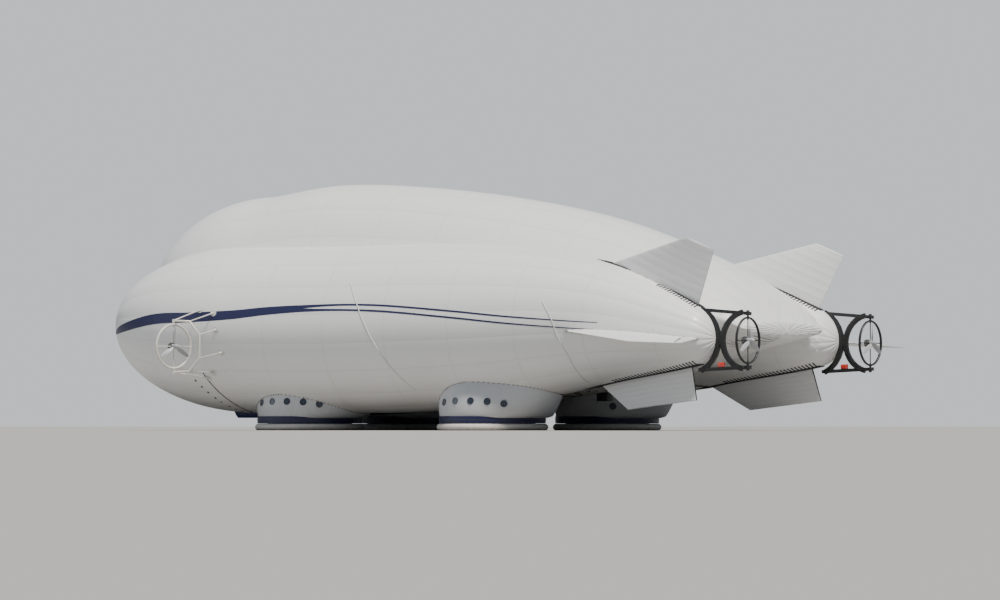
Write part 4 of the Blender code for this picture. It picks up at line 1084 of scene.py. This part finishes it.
for label in ("cabin", "bay"):
    shell = dressed(label + "_shell", "gondola_" + label, gondola_paint, 0.012)
    for paint in (underside_paint, engine_casting, chin_grey):
        shell.data.materials.append(paint)
    front, back, low = OPEN_FRAMES[label]
    for face in shell.data.polygons:
        x, y, z = face.center
        if front < x < back and abs(y) < FRAME_HALF and low < z < low + RUNG_TOP:
            face.material_index = 2
        elif face.normal.z < -0.8:
            face.material_index = 3 if x < CHIN_BACK else 1
dressed("hatch", "gondola_door", gondola_paint, 0.006, "gondola_door_body")
tube("hatch_handle", HANDLE_RADIUS, engine_casting, "engine_metal",
     [Vector((x, y, HANDLE_HEIGHT)) for x, y in HANDLE_LINE], body="gondola_door_body")
for node in sorted(nodes):
    if node.startswith("gondola_wind"):
        name = node.replace("gondola_", "")
        dressed(name + "_glazing", node, glazing, 0.004)
        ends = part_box(node)
        line = []
        for far, high in ((0, 0), (1, 0), (1, 1), (0, 1)):
            x, y, z = ends[far].x, math.copysign(CABIN_HALF, ends[0].y), ends[high].z
            if name == "windscreen":
                x, y = SCREEN_FOOT[0] - SCREEN_LEAN * (z - SCREEN_FOOT[1]), ends[far].y
            line.append(Vector((x, y, z)))
        start = line[-1].lerp(line[0], 0.5)
        tube(name + "_gasket", GASKET, lace_cord, "carbon", [start, *line, start])
dressed("belly_box_cover", "belly_box", black_laminate, 0.03)

# The studio: a pale floor, a broad warm key light high on the port rear side, a weak cool light from
# ahead and an even sky. The camera is close to the floor at the port rear quarter.
FLOOR_SIZE, FLOOR_GREY, LIGHT_DISTANCE = 1600, (0.37, 0.36, 0.34, 1), 80
# Each light: how strong, how wide in degrees, its colour and the way to it.
LIGHTS = ((5.4, 8, (1.0, 0.96, 0.90), (0.36, -0.20, 0.91)),
          (0.35, 40, (0.85, 0.92, 1.0), (-0.75, -0.60, 0.30)))
# The sky lights the airship weakly, and the camera sees a paler backdrop behind it: colour, strength.
SKY, BACKDROP = ((0.74, 0.85, 1.0, 1), 0.30), ((0.90, 0.93, 0.96, 1), 0.80)
# The photograph was taken from far off with a long lens, and so is this view.
VIEW_AZIMUTH, VIEW_DISTANCE, EYE_HEIGHT, AIM_RIGHT, AIM_HEIGHT = 32.456, 315.0, 0.25, 1.0, 6.4
LENS, CLIP_END = 231, 1200

bpy.ops.mesh.primitive_plane_add(size=FLOOR_SIZE)
floor = added("studio_floor")
floor_finish = start_finish("pale_floor").finish(FLOOR_GREY, 0.9)
# The floor is clear from below, so that a view from there shows the underside.
tree = floor_finish.node_tree
mix = tree.nodes.new("ShaderNodeMixShader")
facing, clear = tree.nodes.new("ShaderNodeNewGeometry"), tree.nodes.new("ShaderNodeBsdfTransparent")
for out, into in ((facing.outputs["Backfacing"], mix.inputs[0]),
                  (tree.nodes["Principled BSDF"].outputs[0], mix.inputs[1]),
                  (clear.outputs[0], mix.inputs[2]),
                  (mix.outputs[0], tree.nodes["Material Output"].inputs[0])):
    tree.links.new(out, into)
floor.data.materials.append(floor_finish)
floor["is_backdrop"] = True

for power, width, tint, way in LIGHTS:
    bpy.ops.object.light_add(type="SUN", location=Vector(way) * LIGHT_DISTANCE)
    light = bpy.context.object
    light.data.energy, light.data.angle, light.data.color = power, math.radians(width), tint
    light.rotation_euler = (-Vector(way)).to_track_quat("-Z", "Y").to_euler()
world = bpy.data.worlds.new("studio")
world.use_nodes = True
tree = world.node_tree
sky, backdrop = tree.nodes["Background"], tree.nodes.new("ShaderNodeBackground")
seen, mix = tree.nodes.new("ShaderNodeLightPath"), tree.nodes.new("ShaderNodeMixShader")
for light, (tint, power) in ((sky, SKY), (backdrop, BACKDROP)):
    light.inputs[0].default_value, light.inputs[1].default_value = tint, power
for out, into in ((seen.outputs["Is Camera Ray"], mix.inputs[0]), (sky.outputs[0], mix.inputs[1]),
                  (backdrop.outputs[0], mix.inputs[2]),
                  (mix.outputs[0], tree.nodes["World Output"].inputs[0])):
    tree.links.new(out, into)
bpy.context.scene.world = world

turn = math.radians(VIEW_AZIMUTH)
eye = Vector((math.sin(turn) * VIEW_DISTANCE, -math.cos(turn) * VIEW_DISTANCE, EYE_HEIGHT))
aim = Vector((math.cos(turn) * AIM_RIGHT, math.sin(turn) * AIM_RIGHT, AIM_HEIGHT))
bpy.ops.object.camera_add(location=eye)
camera = bpy.context.object
camera.rotation_euler = (aim - eye).to_track_quat("-Z", "Y").to_euler()
camera.data.lens, camera.data.clip_end = LENS, CLIP_END
bpy.context.scene.camera = camera

low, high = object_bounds()
